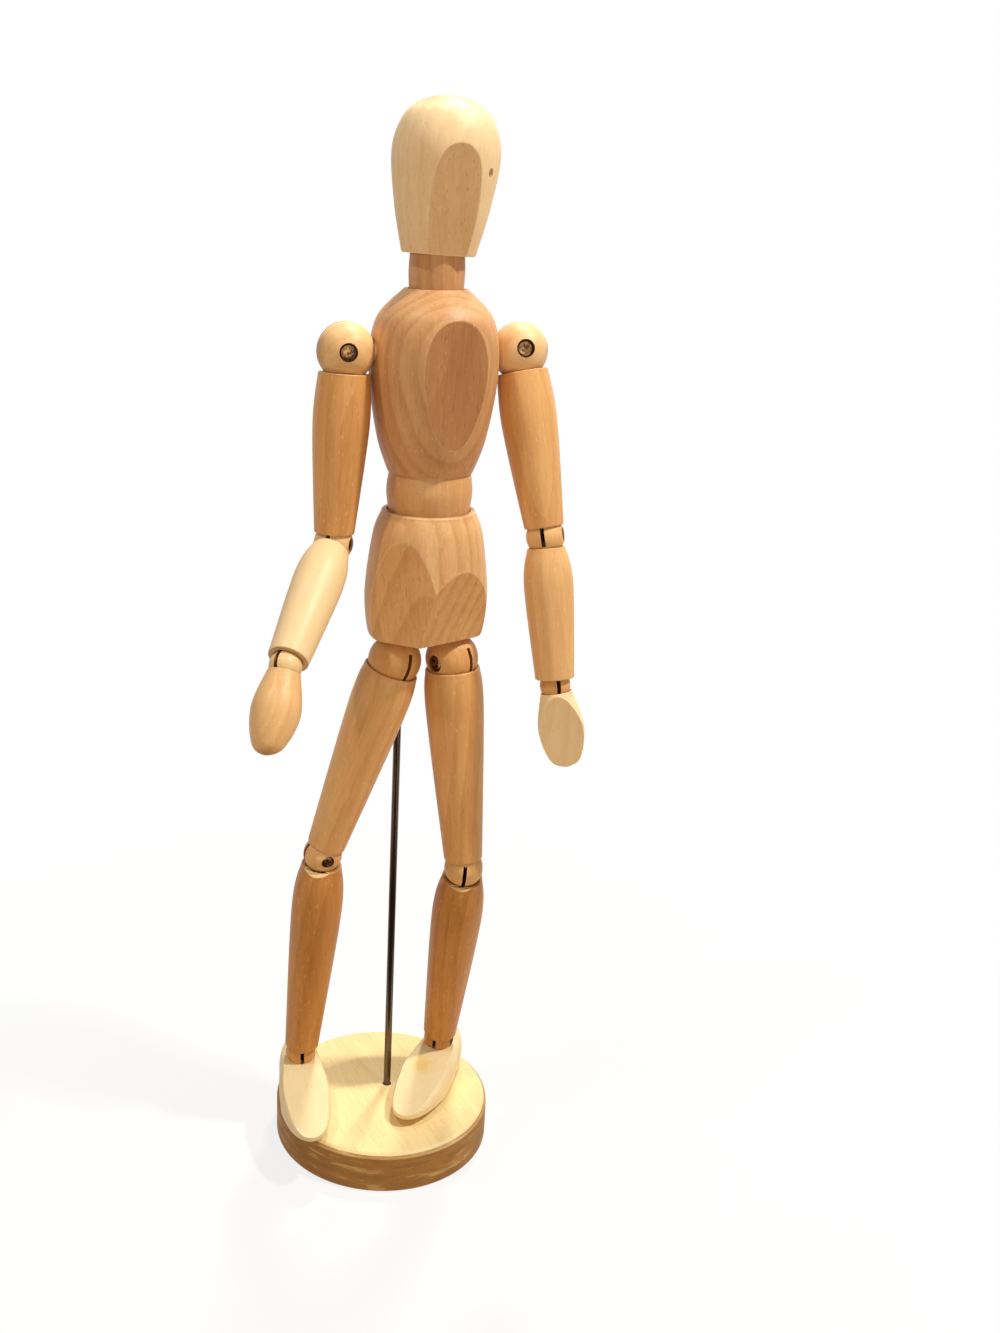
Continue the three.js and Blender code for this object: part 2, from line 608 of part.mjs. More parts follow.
function addChest() {
  const outline = [
    [0, 0],
    ...flank([
      [CHEST.hem, 0],
      [CHEST.lowRadius, CHEST.lowLevel],
      [CHEST.breastRadius, CHEST.breastLevel],
      [CHEST.domeRadius, CHEST.domeLevel],
      [CHEST.topRadius, CHEST.height],
    ], STEPS.chest),
    [0, CHEST.height],
  ];
  const waistBore = bar(SPRING.bore, 0, chestPinLevel + PIN.radius + SEAT_GAP, SIDES.bore);
  const neckPocketFloor = CHEST.height + NECK.band / 2 - NECK_SPRING.below - SEAT_GAP;
  const neckPocket = bar(BEND_POCKET.neck, neckPocketFloor, CHEST.height, SIDES.bore);
  let body = solid(turned(outline, SIDES.trunk), chestFrame)
    .subtract(flatCut(chestFrame, CHEST.flatTurn, CHEST.flatLean, CHEST.flatDepth))
    .subtract(cup(onTrunk(waistMiddle), WAIST.ballRadius, SIDES.trunkCup))
    .subtract(cup(onTrunk(neckMiddle), NECK.ballRadius, SIDES.trunkCup))
    .subtract(solid(waistBore, chestFrame))
    .subtract(solid(neckPocket, chestFrame))
    .subtract(backPin(chestFrame, chestPinLevel, CHEST.breastRadius, SEAT_GAP, PIN.sunk));
  for (const { joints } of Object.values(figure)) body = body.subtract(spigotSeat(joints.shoulder));
  piece('chest', body, chestFrame, FINISH.trunk());
  const pin = backPin(chestFrame, chestPinLevel, CHEST.lowRadius, 0, -PIN.sunk);
  piece('chest_pin', pin, chestFrame, FINISH.steel());
  const spring = springSolid(-WAIST_SPRING.below, WAIST_SPRING.above, waistFrame);
  piece('waist_spring', spring, waistFrame, FINISH.steel());
}

function addHead() {
  const outline = [
    [0, 0],
    ...flank([
      [HEAD.hem, 0],
      [HEAD.jawRadius, HEAD.jawLevel],
      [HEAD.templeRadius, HEAD.templeLevel],
      [HEAD.crownRadius, HEAD.crownLevel],
      [HEAD.topRadius, HEAD.topLevel],
      [0, HEAD.height],
    ], STEPS.head),
  ];
  const bore = bar(SPRING.bore, 0, headPinLevel + PIN.radius + SEAT_GAP, SIDES.bore);
  const pinFrame = tilted(frame(onTrunk(headFoot + headPinLevel), ahead(HEAD.turn + HEAD_PIN_TURN), UP));
  const pinHole = bar(PIN.radius + SEAT_GAP, -PIN.past - SEAT_GAP, 2 * HEAD.templeRadius, SIDES.pin);
  const body = solid(turned(outline, SIDES.trunk), headFrame)
    .subtract(flatCut(headFrame, 0, HEAD.faceLean, HEAD.faceDepth))
    .subtract(cup(onTrunk(neckMiddle), NECK.ballRadius, SIDES.trunkCup))
    .subtract(solid(bore, headFrame))
    .subtract(solid(pinHole, pinFrame));
  piece('head', body, headFrame, FINISH.pale());
  const pin = solid(bar(PIN.radius, -PIN.past, HEAD.jawRadius, SIDES.pin), pinFrame);
  piece('head_pin', pin, pinFrame, FINISH.steel());
  const spring = springSolid(-NECK_SPRING.below, NECK_SPRING.above, neckSpringFrame);
  piece('neck_spring', spring, neckSpringFrame, FINISH.steel());
}

// Limbs of one side

function addLeg(side) {
  const { dir, joints } = figure[side];
  const { hip, knee, ankle } = joints;
  const facing = ahead(POSE[side].footHeading + 90);
  const thighFrame = hang(hip.centre, dir.thigh, facing);
  const thigh = solid(limbBlank(THIGH, hip.spec.limbRim, knee.spec.baseRim), thighFrame)
    .subtract(tongueSeat(hip))
    .subtract(spigotSeat(knee));
  piece(`${side}_thigh`, thigh, thighFrame, FINISH.limb());
  const shinFrame = hang(knee.centre, dir.shin, facing);
  const shin = solid(limbBlank(SHIN, knee.spec.limbRim, ankle.spec.baseRim), shinFrame)
    .subtract(tongueSeat(knee))
    .subtract(spigotSeat(ankle));
  piece(`${side}_shin`, shin, shinFrame, FINISH.limb());
  const footFrame = hang(ankle.centre, dir.foot, facing);
  piece(`${side}_foot`, footSolid(footFrame).subtract(tongueSeat(ankle)), footFrame, FINISH.pale());
}

function addArm(side) {
  const { dir, joints } = figure[side];
  const { shoulder, elbow, wrist } = joints;
  const facing = ahead(CHEST.turn + 90);
  const upperFrame = hang(shoulder.centre, dir.upperArm, facing);
  const upper = solid(limbBlank(UPPER_ARM, shoulder.spec.limbRim, elbow.spec.baseRim), upperFrame)
    .subtract(tongueSeat(shoulder))
    .subtract(tongueSeat(elbow));
  piece(`${side}_upper_arm`, upper, upperFrame, FINISH.limb());
  const foreFrame = hang(elbow.centre, dir.forearm, facing);
  const fore = solid(limbBlank(FOREARM, elbow.spec.limbRim, wrist.spec.baseRim), foreFrame)
    .subtract(spigotSeat(elbow))
    .subtract(tongueSeat(wrist));
  piece(`${side}_forearm`, fore, foreFrame, FINISH.limb());
  const handFrame = hang(wrist.centre, dir.hand, ahead(POSE[side].palmHeading + 90));
  const hand = solid(handBlank(), handFrame)
    .subtract(flatCut(handFrame, 0, HAND.palmLean, HAND.palmDepth))
    .subtract(spigotSeat(wrist));
  piece(`${side}_hand`, hand, handFrame, FINISH.limb());
}

addBase();
addRod();
addPelvis();
piece('waist', barrel(WAIST, waistFrame), waistFrame, FINISH.trunk());
addChest();
piece('neck', barrel(NECK, neckFrame), neckFrame, FINISH.trunk());
addHead();
for (const side of Object.keys(SIDE)) {
  addArm(side);
  addLeg(side);
  for (const [kind, made] of Object.entries(figure[side].joints)) addJoint(`${side}_${kind}`, made);
}

export default model;
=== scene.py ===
import json
import math

import bmesh
import bpy
import numpy as np
from mathutils import Matrix, Vector


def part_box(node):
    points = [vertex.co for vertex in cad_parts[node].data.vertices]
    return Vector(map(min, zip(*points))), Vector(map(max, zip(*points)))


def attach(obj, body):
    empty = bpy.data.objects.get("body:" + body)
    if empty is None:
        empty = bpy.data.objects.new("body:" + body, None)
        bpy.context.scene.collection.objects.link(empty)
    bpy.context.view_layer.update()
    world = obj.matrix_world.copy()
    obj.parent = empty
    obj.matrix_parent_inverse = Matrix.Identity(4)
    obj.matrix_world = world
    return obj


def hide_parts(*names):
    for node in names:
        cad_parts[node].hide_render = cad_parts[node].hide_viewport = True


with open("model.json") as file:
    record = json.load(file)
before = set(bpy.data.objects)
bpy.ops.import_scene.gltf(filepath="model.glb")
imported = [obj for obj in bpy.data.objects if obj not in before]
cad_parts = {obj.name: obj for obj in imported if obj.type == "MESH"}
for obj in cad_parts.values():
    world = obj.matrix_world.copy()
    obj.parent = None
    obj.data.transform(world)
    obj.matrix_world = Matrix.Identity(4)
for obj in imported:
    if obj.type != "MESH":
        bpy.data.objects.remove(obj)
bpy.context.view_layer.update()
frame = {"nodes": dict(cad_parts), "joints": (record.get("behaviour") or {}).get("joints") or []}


def table(columns, **lines):
    """Each line's values under the columns' names."""
    return {name: dict(zip(columns.split(), line)) for name, line in lines.items()}


# Sizes of the turned pieces, in millimetres
MM = 0.001
SEAT_GAP = 0.3
KERF = 1.2
TRUNK_TURN = {"pelvis": 12.0, "chest": 16.5, "head": 17.0}
BASE = {"radius": 35.8, "height": 13.8, "edge": 1.5, "soft": 0.35, "foot": 0.5, "socket": 10.0}
ROD = {"radius": 1.2, "edge": 0.25}
PELVIS = {
    "height": 38.6, "edge": 0.8, "pocket": 6.9, "pocket_floor": 26.0,
    "stations": [(15.6, 0.0), (17.3, 2.0), (18.3, 14.0), (16.3, 31.0), (13.9, 37.8)],
    "flats": [(-38.0, 4.8, 13.5), (26.0, 16.8, 10.5)],
}
CHEST = {
    "height": 51.2, "waist_bore": 2.1, "bore_top": 15.6, "pocket": 5.4, "pocket_floor": 44.4,
    "stations": [(12.4, 0.0), (15.9, 10.5), (18.5, 29.0), (16.7, 42.8), (9.0, 51.2)],
    "flats": [(6.0, 1.5, 15.1)],
}
HEAD = {
    "edge": 0.3, "bore": 2.1, "bore_top": 23.2, "tilt": 2.8,
    "stations": [(10.3, 0.0), (13.3, 13.0), (14.9, 27.0), (11.9, 36.0), (6.2, 40.0), (0.0, 41.08)],
    "flats": [(-2.0, 12.0, 8.6)],
}
# Barrels: half is the height from the middle to a rim
WAIST = {"radius": 12.6, "rim": 11.9, "half": 5.6, "ball": 13.4, "bore": 6.4}
NECK = {"radius": 7.9, "rim": 7.7, "half": 4.55, "ball": 9.0, "bore": 4.9}
# Balls: turn is the joint that swivels on the ball's spigot
JOINTS = table(
    "ball spigot end eye tang screw turn",
    hip=(8.05, 2.6, 14.0, 3.0, 12.0, "large", "hip_turn"),
    knee=(6.2, 2.1, 12.0, 2.4, 11.0, "small", "knee_turn"),
    ankle=(5.1, 1.9, 11.0, 2.0, 9.0, "small", "ankle_turn"),
    shoulder=(8.2, 2.6, 14.0, 3.0, 13.0, "large", "shoulder_turn"),
    elbow=(5.7, 2.0, 11.0, 2.4, 10.0, "small", "forearm_turn"),
    wrist=(4.6, 1.7, 10.0, 2.0, 9.0, "small", "hand_turn"),
)
SCREWS = table(
    "head high shank sunk cross width depth",
    large=(2.3, 1.4, 1.2, 2.4, 2.6, 0.7, 0.8),
    small=(1.8, 1.1, 0.9, 2.0, 2.0, 0.55, 0.6),
)
SCREW_PAST = 4.0
SCREW_TIP = {"share": 0.6, "length": 0.8}  # the shank's point: its width's share, and its taper
SCREW_CROWN = {"share": 0.45, "start": 0.15, "points": 9}  # the domed part of the head
LIMBS = table(
    "ends rims edge top belly drop end",
    thigh=(("hip", "knee"), (3.0, 3.55), 0.5, 8.5, 9.1, 14.0, 6.2),
    shin=(("knee", "ankle"), (3.55, 3.15), 0.5, 6.6, 8.3, 17.0, 5.7),
    upper_arm=(("shoulder", "elbow"), (5.9, 2.9), 0.3, 7.5, 8.2, 15.0, 5.9),
    forearm=(("elbow", "wrist"), (3.2, 2.2), 0.3, 5.7, 7.4, 11.0, 5.9),
)
INSIDE = 0.985  # limbs are turned this much thinner than the solids, so that finer rounds stay inside them
HAND = {"rim": 2.0, "stations": [(0.0, -25.8), (4.6, -23.1), (7.1, -13.0), (4.8, -2.0)],
        "palm": (14.0, 5.5), "inside": 0.97}
HANDS = table("lean heading palm", right=(36.5, -15.0, 160.0), left=(14.0, 48.0, -7.0))
FOOT = {
    "ankle": 12.5, "collar": -2.2, "heel_round": 13.1, "toe": 35.0, "spring_start": 17.0, "toe_spring": 2.2,
    "dome": 13.0, "dome_toe": 5.8, "dome_back": 8.0, "wall": 0.32, "sole_edge": 0.35,
    "facet": [(-33.5, 4.0), (-6.5, 10.6)],
}
FOOT_HEADING = {"right": 10.0, "left": -21.0}
SIDES = {"trunk": 128, "limb": 96, "ball": 72, "base": 160, "rod": 48, "bore": 40, "screw": 40}


# Frames: where each piece sits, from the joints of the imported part

joints = {j["name"]: j for j in frame["joints"]}
UP = Vector((0, 0, 1))


def middle(name):
    """The point a joint turns about, in metres."""
    return Vector(joints[name]["pos_m"])


def turning(name, towards):
    """A joint's axis, pointing the way that is asked for."""
    axis = Vector(joints[name]["axis"]).normalized()
    return axis if axis.dot(towards) > 0 else -axis


def ahead(heading):
    a = math.radians(heading)
    return Vector((math.sin(a), -math.cos(a), 0))


def downwards(lean, heading):
    a = math.radians(lean)
    return ahead(heading) * math.sin(a) - UP * math.cos(a)


def placed(origin, axis, side):
    """A frame with its Z along the axis and its X as near as can be to the side."""
    z = axis.normalized()
    x = (side - z * side.dot(z)).normalized()
    y = z.cross(x)
    turn = Matrix((x, y, z)).transposed()
    return Matrix.Translation(origin) @ turn.to_4x4()


def upright(origin, heading):
    return placed(origin, UP, ahead(heading + 90))


def box_middle(node):
    low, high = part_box(node)
    return (low + high) / 2


trunk_at = middle("waist_turn")
neck_at = middle("neck_turn")
pelvis_foot = trunk_at - UP * (WAIST["half"] + PELVIS["height"]) * MM
chest_foot = trunk_at + UP * WAIST["half"] * MM
head_foot = neck_at + UP * NECK["half"] * MM
rod_at = middle("figure_turn")
rod_frame = Matrix.Translation((rod_at.x, rod_at.y, 0))

trunk_frames = {
    "pelvis": upright(pelvis_foot, TRUNK_TURN["pelvis"]),
    "waist": upright(trunk_at, TRUNK_TURN["pelvis"]),
    "chest": upright(chest_foot, TRUNK_TURN["chest"]),
    "neck": upright(neck_at, TRUNK_TURN["chest"]),
    "head": upright(head_foot, TRUNK_TURN["head"]),
}
# The head sits a little askew, tilted about the middle of the neck
head_tilt = (Matrix.Translation(neck_at)
             @ Matrix.Rotation(math.radians(-HEAD["tilt"]), 4, ahead(TRUNK_TURN["head"]))
             @ Matrix.Translation(-neck_at))
trunk_frames["head"] = head_tilt @ trunk_frames["head"]

KINDS = list(JOINTS)


def ball_frames(side):
    """Each ball's frame: Z along its spigot, X out through the screw's head."""
    at = {k: middle(f"{side}_{k}_bend") for k in KINDS}
    spigot_to = {
        "hip": UP,
        "knee": at["hip"] - at["knee"],
        "ankle": at["knee"] - at["ankle"],
        "shoulder": trunk_at + UP * (at["shoulder"].z - trunk_at.z) - at["shoulder"],
        "elbow": at["wrist"] - at["elbow"],
        "wrist": downwards(HANDS[side]["lean"], HANDS[side]["heading"]),
    }
    found = {}
    for k in KINDS:
        z = turning(f"{side}_{JOINTS[k]['turn']}", spigot_to[k])
        x = turning(f"{side}_{k}_bend", box_middle(f"{side}_{k}_screw") - at[k])
        found[k] = placed(at[k], z, x)
    return found


balls = {side: ball_frames(side) for side in ("right", "left")}


def joint_at(side, kind):
    return balls[side][kind].translation


def limb_frame(side, limb):
    """A limb hangs along -Z of its frame, from the middle of its upper joint."""
    near, far = (joint_at(side, k) for k in LIMBS[limb]["ends"])
    return placed(near, near - far, balls[side][LIMBS[limb]["ends"][0]].col[0].xyz)


# Wires: sockets that can be added and multiplied

class Wire:
    """An output socket of the tree being wired. Sums and products of wires add their Math nodes."""

    tree = None

    def __init__(self, socket):
        self.socket = socket

    @classmethod
    def node(cls, kind, sockets=None, out=0, **settings):
        made = cls.tree.nodes.new(kind)
        for key, value in settings.items():
            setattr(made, key, value)
        feed(made, sockets or {})
        return cls(made.outputs[out])

    @classmethod
    def math(cls, operation, *values):
        return cls.node("ShaderNodeMath", dict(enumerate(values)), operation=operation)

    def __add__(self, other):
        return Wire.math("ADD", self, other)

    def __sub__(self, other):
        return Wire.math("SUBTRACT", self, other)

    def __rsub__(self, other):
        return Wire.math("SUBTRACT", other, self)

    def __mul__(self, other):
        return Wire.math("MULTIPLY", self, other)

    def __truediv__(self, other):
        return Wire.math("DIVIDE", self, other)

    __radd__, __rmul__ = __add__, __mul__


def feed(node, sockets):
    """Wires, or plain values, into a node's inputs."""
    for key, value in sockets.items():
        if isinstance(value, Wire):
            Wire.tree.links.new(value.socket, node.inputs[key])
        else:
            node.inputs[key].default_value = value


def shade(kind, sockets=None, out=0, **settings):
    return Wire.node("ShaderNode" + kind, sockets, out, **settings)


def geo(kind, sockets=None, out=0, **settings):
    return Wire.node("GeometryNode" + kind, sockets, out, **settings)


def vector_math(operation, *values, out=0):
    return shade("VectorMath", dict(enumerate(values)), out, operation=operation)


def tint(code):
    """A colour written as six hex digits, made linear."""
    parts = [int(code[i:i + 2], 16) / 255 for i in (0, 2, 4)]
    return tuple(p / 12.92 if p <= 0.04045 else ((p + 0.055) / 1.055) ** 2.4 for p in parts) + (1.0,)


def blend_colour(share, first, second, way="MIX"):
    return shade("Mix", {0: share, 6: first, 7: second}, 2,
                 data_type="RGBA", blend_type=way, clamp_factor=True)


def stretched(at, by):
    return vector_math("MULTIPLY", at, by)


def noise(at, scale=1.0, detail=2.0, rough=0.5, out=0):
    return shade("TexNoise", {"Vector": at, "Scale": scale, "Detail": detail, "Roughness": rough}, out)


def own(name, out=2):
    """One of the piece's own attributes: output 2 is a number, 1 a vector."""
    return shade("Attribute", out=out, attribute_name=name)


def object_place():
    return shade("TexCoord", out=3)


def ease(value, low, high):
    """0 below low, 1 above high, smooth between."""
    return shade("MapRange", {"Value": value, "From Min": low, "From Max": high},
                 interpolation_type="SMOOTHSTEP", clamp=True)


# Finishes

def new_finish(name):
    made = bpy.data.materials.new(name)
    made.use_nodes = True
    Wire.tree = made.node_tree
    shader = made.node_tree.nodes["Principled BSDF"]
    return made, shader


def bumped(height, strength, distance):
    return shade("Bump", {"Strength": strength, "Distance": distance, "Height": height})


# Noise scales of the wood's figure, per metre: two across the grain and one along it
FIGURE = {
    "drift": (38.0, 38.0, 9.0), "fibre": (700.0, 700.0, 24.0), "pores": (2600.0, 2600.0, 300.0),
    "band": (120.0, 120.0, 6.0), "fleck": (1500.0, 1500.0, 520.0), "dash": (1250.0, 1250.0, 95.0),
    "scuff": (75.0, 420.0, 75.0), "saw marks": (90.0, 90.0, 1700.0),
}
CLOUD_SCALE = 48.0
DRIFT_REACH = 0.007  # metres that the rings wander
RING_TAPER = 0.11  # share of the height that counts in a ring's distance from the pith
# How far each part of the figure moves the colour from early towards late wood
PLAIN_SHARE = 0.34
SWAY = {"ring": 0.42, "fibre": 1.2, "band": 1.1, "dash": 1.1, "cloud": 0.42, "tone": 0.3}


def wood(name, early, late, pore, worn, pitch, rough=0.46, rings=0.5, streaks=0.5,
         sawn_tint="f2f0ec", end_grain=0.5, patchy=0.0, spot=None):
    """Close-grained wood, thinly sealed: growth rings, fibres, pores, flecks, sawn faces and worn edges."""
    made, shader = new_finish(name)
    early, late, pore, worn, sawn_tint = map(tint, (early, late, pore, worn, sawn_tint))
    grain = own("grain", out=1)
    edge, tone, sawn, ends = (own(mark) for mark in ("edge", "tone", "sawn", "ends"))
    drift = noise(stretched(grain, FIGURE["drift"]), detail=2.0, out=1)
    pull = vector_math("MULTIPLY_ADD", drift, (DRIFT_REACH,) * 3, grain)
    reach = vector_math("LENGTH", stretched(pull, (1.0, 1.0, RING_TAPER)), out=1)
    ring = Wire.math("FRACT", reach / pitch)
    line = ease(ring, 0.3, 0.92) * (1 - ease(ring, 0.94, 1.0))
    fibre = noise(stretched(pull, FIGURE["fibre"]), detail=4.0, rough=0.62)
    fine = noise(stretched(grain, FIGURE["pores"]), detail=2.0, rough=0.55)
    pores = ease(fine, 0.60, 0.74)
    band = noise(stretched(pull, FIGURE["band"]), detail=2.0)
    cloud = noise(grain, scale=CLOUD_SCALE, detail=3.0)
    fleck = ease(noise(stretched(grain, FIGURE["fleck"]), detail=1.0), 0.66, 0.76)
    dash = noise(stretched(pull, FIGURE["dash"]), detail=2.0, rough=0.6)
    share = PLAIN_SHARE + rings * SWAY["ring"] * (line - 0.35)
    for streak, mark in ((fibre, "fibre"), (band, "band"), (dash, "dash")):
        share = share + streaks * (streak - 0.5) * SWAY[mark]
    share = share + SWAY["cloud"] * (cloud - 0.5) + tone * SWAY["tone"]
    colour = blend_colour(share, early, late)
    colour = blend_colour(pores * (0.26 + 0.2 * sawn), colour, pore)
    colour = blend_colour(fleck * 0.34, colour, worn)
    colour = blend_colour(Wire.math("MAXIMUM", 0.0 - tone, 0.0), colour, worn)
    # End grain darkens towards the pore colour. Inside a ball's slot and screw hole the mark is raised, which
    # paints the shade in them.
    colour = blend_colour(ends * end_grain, colour, pore)
    colour = blend_colour(sawn, colour, sawn_tint, "MULTIPLY")
    # Pared faces go pale towards the worn colour: partly a worn chamfer, partly a painted highlight on the
    # rim.
    colour = blend_colour(Wire.math("MAXIMUM", 0.0 - sawn, 0.0) * 0.8, colour, worn)
    if patchy:
        scuff = noise(stretched(grain, FIGURE["scuff"]), detail=5.0, rough=0.62)
        colour = blend_colour(sawn * patchy * ease(scuff, 0.5, 0.62), colour, pore)
        colour = blend_colour(sawn * patchy * (1 - ease(scuff, 0.36, 0.46)), colour, late)
    colour = blend_colour(edge * ease(cloud, 0.3, 0.7) * 0.5, colour, worn)
    if spot:
        away = vector_math("DISTANCE", grain, spot["at"], out=1)
        ragged = away + (noise(grain, scale=420.0, detail=3.0) - 0.5) * spot["size"]
        stain = (1 - ease(ragged, 0.3 * spot["size"], spot["size"])) * spot["strength"]
        colour = blend_colour(stain, colour, spot["colour"])
    saw_marks = noise(stretched(grain, FIGURE["saw marks"]), detail=2.0)
    height = 0.5 * fibre - 0.5 * pores + 0.12 * line + sawn * 0.35 * saw_marks
    feed(shader, {
        "Base Color": colour,
        "Roughness": rough + 0.16 * (fibre - 0.5) + 0.12 * pores + 0.08 * sawn - 0.06 * edge,
        "Normal": bumped(height, 0.14, 0.0003), "Specular IOR Level": 0.42,
    })
    return made


limb_wood = wood("sealed limb wood", "ecb777", "cb8845", "8a4f1e", "f6deb0", 0.0034)
# The shins and ankle balls get a darker, more orange copy of the limb wood: partly their own colour, partly
# painted shade of the lower legs.
shin_wood = wood("darker shin wood", "d6964c", "ab692a", "74401a", "efc88a", 0.0036)
chest_wood = wood("rosy chest wood", "dfac77", "b97d4c", "7e4a28", "f0d0a2", 0.0026, rings=0.62,
                  sawn_tint="ddd0c4")
pelvis_wood = wood("striped pelvis wood", "ecbf88", "c88e58", "875227", "f5dab0", 0.0026, rings=0.72,
                   sawn_tint="fffaf2")
barrel_wood = wood("plain barrel wood", "ebb982", "cc935c", "8e5a30", "f4d8aa", 0.0030, rings=0.2,
                   streaks=0.4)
palm_wood = wood("pale hand wood", "f8cf96", "d2924e", "8a4f1e", "ffecc6", 0.0017, rings=0.8, streaks=0.4,
                 sawn_tint="fffcf6", end_grain=0.0)
PALE = {"early": "f3d7a0", "late": "e0b478", "pore": "a87040", "worn": "f8e8c0", "pitch": 0.0040,
        "rough": 0.5, "rings": 0.4, "streaks": 0.4, "end_grain": 0.0}
pale_wood = wood("pale foot wood", **PALE)
head_wood = wood("head wood", "f8dbb0", "e4b884", "a06c3c", "fdf0d4", 0.0042, rough=0.5, rings=0.35,
                 sawn_tint="ece0d0")
# Its sawn tint darkens only the base's wall: partly side grain, partly painted shade.
base_wood = wood("base board wood", "f5dfaa", "e2bd80", "8a6434", "f8eac4", 0.0042, rough=0.55, rings=0.4,
                 sawn_tint="b5915f", end_grain=0.0, patchy=0.55)


def bright_rod():
    made, shader = new_finish("bright drawn rod")
    at = object_place()
    drawn = noise(stretched(at, (2600.0, 2600.0, 14.0)), detail=3.0)
    haze = noise(stretched(at, (90.0, 90.0, 40.0)), detail=3.0)
    # The rod's colour is kept a dark brown, darker still in the haze patches: painted reflection of the dark
    # room in front of the chrome.
    colour = blend_colour(0.55 * ease(haze, 0.4, 0.7), tint("6e6055"), tint("4a3e36"))
    feed(shader, {"Base Color": colour, "Roughness": 0.10 + 0.10 * drawn + 0.08 * haze,
                  "Normal": bumped(drawn, 0.05, 0.0001), "Metallic": 1.0})
    return made


def dull_screw():
    made, shader = new_finish("dulled screw steel")
    at = object_place()
    stain = noise(at, scale=900.0, detail=4.0, rough=0.65)
    specks = noise(at, scale=3200.0, detail=2.0)
    colour = blend_colour(ease(stain, 0.35, 0.7), tint("a37c54"), tint("2e1b0f"))
    feed(shader, {"Base Color": colour, "Roughness": 0.12 + 0.2 * ease(stain, 0.3, 0.75) + 0.1 * specks,
                  "Normal": bumped(specks, 0.15, 0.0001), "Metallic": 1.0})
    return made


def slot_shade_steel():
    made, shader = new_finish("plain strip steel")
    at = object_place()
    rolled = noise(stretched(at, (700.0, 700.0, 160.0)), detail=3.0)
    stain = noise(at, scale=500.0, detail=3.0)
    # Near-black brown: painted shade of the slots and pin holes that the tongues and pins sit in. The stain
    # noise only varies it between two such dark shades.
    colour = blend_colour(ease(stain, 0.4, 0.75), tint("241209"), tint("0e0603"))
    feed(shader, {"Base Color": colour, "Roughness": 0.42 + 0.25 * rolled, "Metallic": 1.0})
    return made


rod_finish = bright_rod()
screw_finish = dull_screw()
slot_shade_finish = slot_shade_steel()


# Geometry Nodes: the lathe and the screw

def new_tree(name, inputs, output):
    tree = bpy.data.node_groups.new(name, "GeometryNodeTree")
    for label, kind in inputs.items():
        tree.interface.new_socket(label, in_out="INPUT", socket_type="NodeSocket" + kind)
    tree.interface.new_socket(output, in_out="OUTPUT", socket_type="NodeSocketGeometry")
    Wire.tree = tree
    given = tree.nodes.new("NodeGroupInput")
    return tree, [Wire(s) for s in given.outputs[:len(inputs)]]


def give_out(tree, made, finish):
    made = geo("RealizeInstances", {0: made})
    made = geo("SetMaterial", {"Geometry": made, "Material": finish})
    feed(tree.nodes.new("NodeGroupOutput"), {0: made})
    return tree


TURNED = {"Outline": "Geometry", "Sides": "Int", "Finish": "Material"}
MERGE = 1e-6  # metres within which the seam and the poles of a turned piece are joined


def lathe_tree():
    """Turns an outline, given as a row of points with radius in X and height in Z, about Z."""
    tree, (outline, sides, finish) = new_tree("turned on the lathe", TURNED, "Turned")
    rows = geo("AttributeDomainSize", {0: outline}, component="MESH")
    sheet = geo("MeshGrid", {"Size X": 1.0, "Size Y": 1.0, "Vertices X": sides + 1, "Vertices Y": rows})
    index = geo("InputIndex")
    column = Wire.math("FLOOR", (index + 0.5) / rows)
    row = index - column * rows
    point = geo("SampleIndex", {"Geometry": outline, "Value": geo("InputPosition"), "Index": row},
                data_type="FLOAT_VECTOR", domain="POINT")
    radius, height = (shade("SeparateXYZ", {0: point}, part) for part in (0, 2))
    angle = column / sides * (2 * math.pi)
    spun = shade("CombineXYZ", {
        0: radius * Wire.math("COSINE", angle), 1: radius * Wire.math("SINE", angle), 2: height})
    made = geo("SetPosition", {"Geometry": sheet, "Position": spun})
    return give_out(tree, geo("MergeByDistance", {"Geometry": made, "Distance": MERGE}), finish)


LATHE = lathe_tree()


def screw_tree():
    """A turned screw with a cross recess in its head, set at a place with a turn."""
    tree, (outline, sides, finish, top, length, width, depth, place, turn) = new_tree(
        "cross-head screw",
        {**TURNED, "Head top": "Float", "Cross length": "Float", "Cross width": "Float",
         "Cross depth": "Float", "Place": "Vector", "Turn": "Vector"},
        "Screw",
    )
    body = geo("Group", {0: outline, 1: sides, 2: finish}, node_tree=LATHE)
    at_top = shade("CombineXYZ", {0: 0.0, 1: 0.0, 2: top})
    for quarter in (math.pi / 4, 3 * math.pi / 4):
        wing = geo("MeshCube", {"Size": shade("CombineXYZ", {0: length, 1: width, 2: depth * 2})})
        wing = geo("Transform", {"Geometry": wing, "Translation": at_top, "Rotation": (0.0, 0.0, quarter)})
        body = geo("MeshBoolean", {"Mesh 1": body, "Mesh 2": wing}, operation="DIFFERENCE", solver="EXACT")
    made = geo("Transform", {"Geometry": body, "Translation": place, "Rotation": turn})
    return give_out(tree, made, finish)


SCREW = screw_tree()


def new_object(name, data):
    obj = bpy.data.objects.new(name, data)
    bpy.context.scene.collection.objects.link(obj)
    return obj


def grown(name, tree, points, values):
    """Runs a tree on a row of outline points and keeps the result as a plain mesh."""
    seed = bpy.data.meshes.new(name + "_outline")
    seed.from_pydata([(r * MM, 0.0, z * MM) for r, z in points], [], [])
    obj = new_object(name, seed)
    modifier = obj.modifiers.new("made", "NODES")
    modifier.node_group = tree
    for item in tree.interface.items_tree:
        if item.in_out == "INPUT" and item.name in values:
            modifier[item.identifier] = values[item.name]
    keep_result(obj)
    bpy.data.meshes.remove(seed)
    one_finish(obj, values["Finish"])
    return obj


def one_finish(obj, finish):
    obj.data.materials.clear()
    obj.data.materials.append(finish)
    obj.data.polygons.foreach_set("material_index", [0] * len(obj.data.polygons))


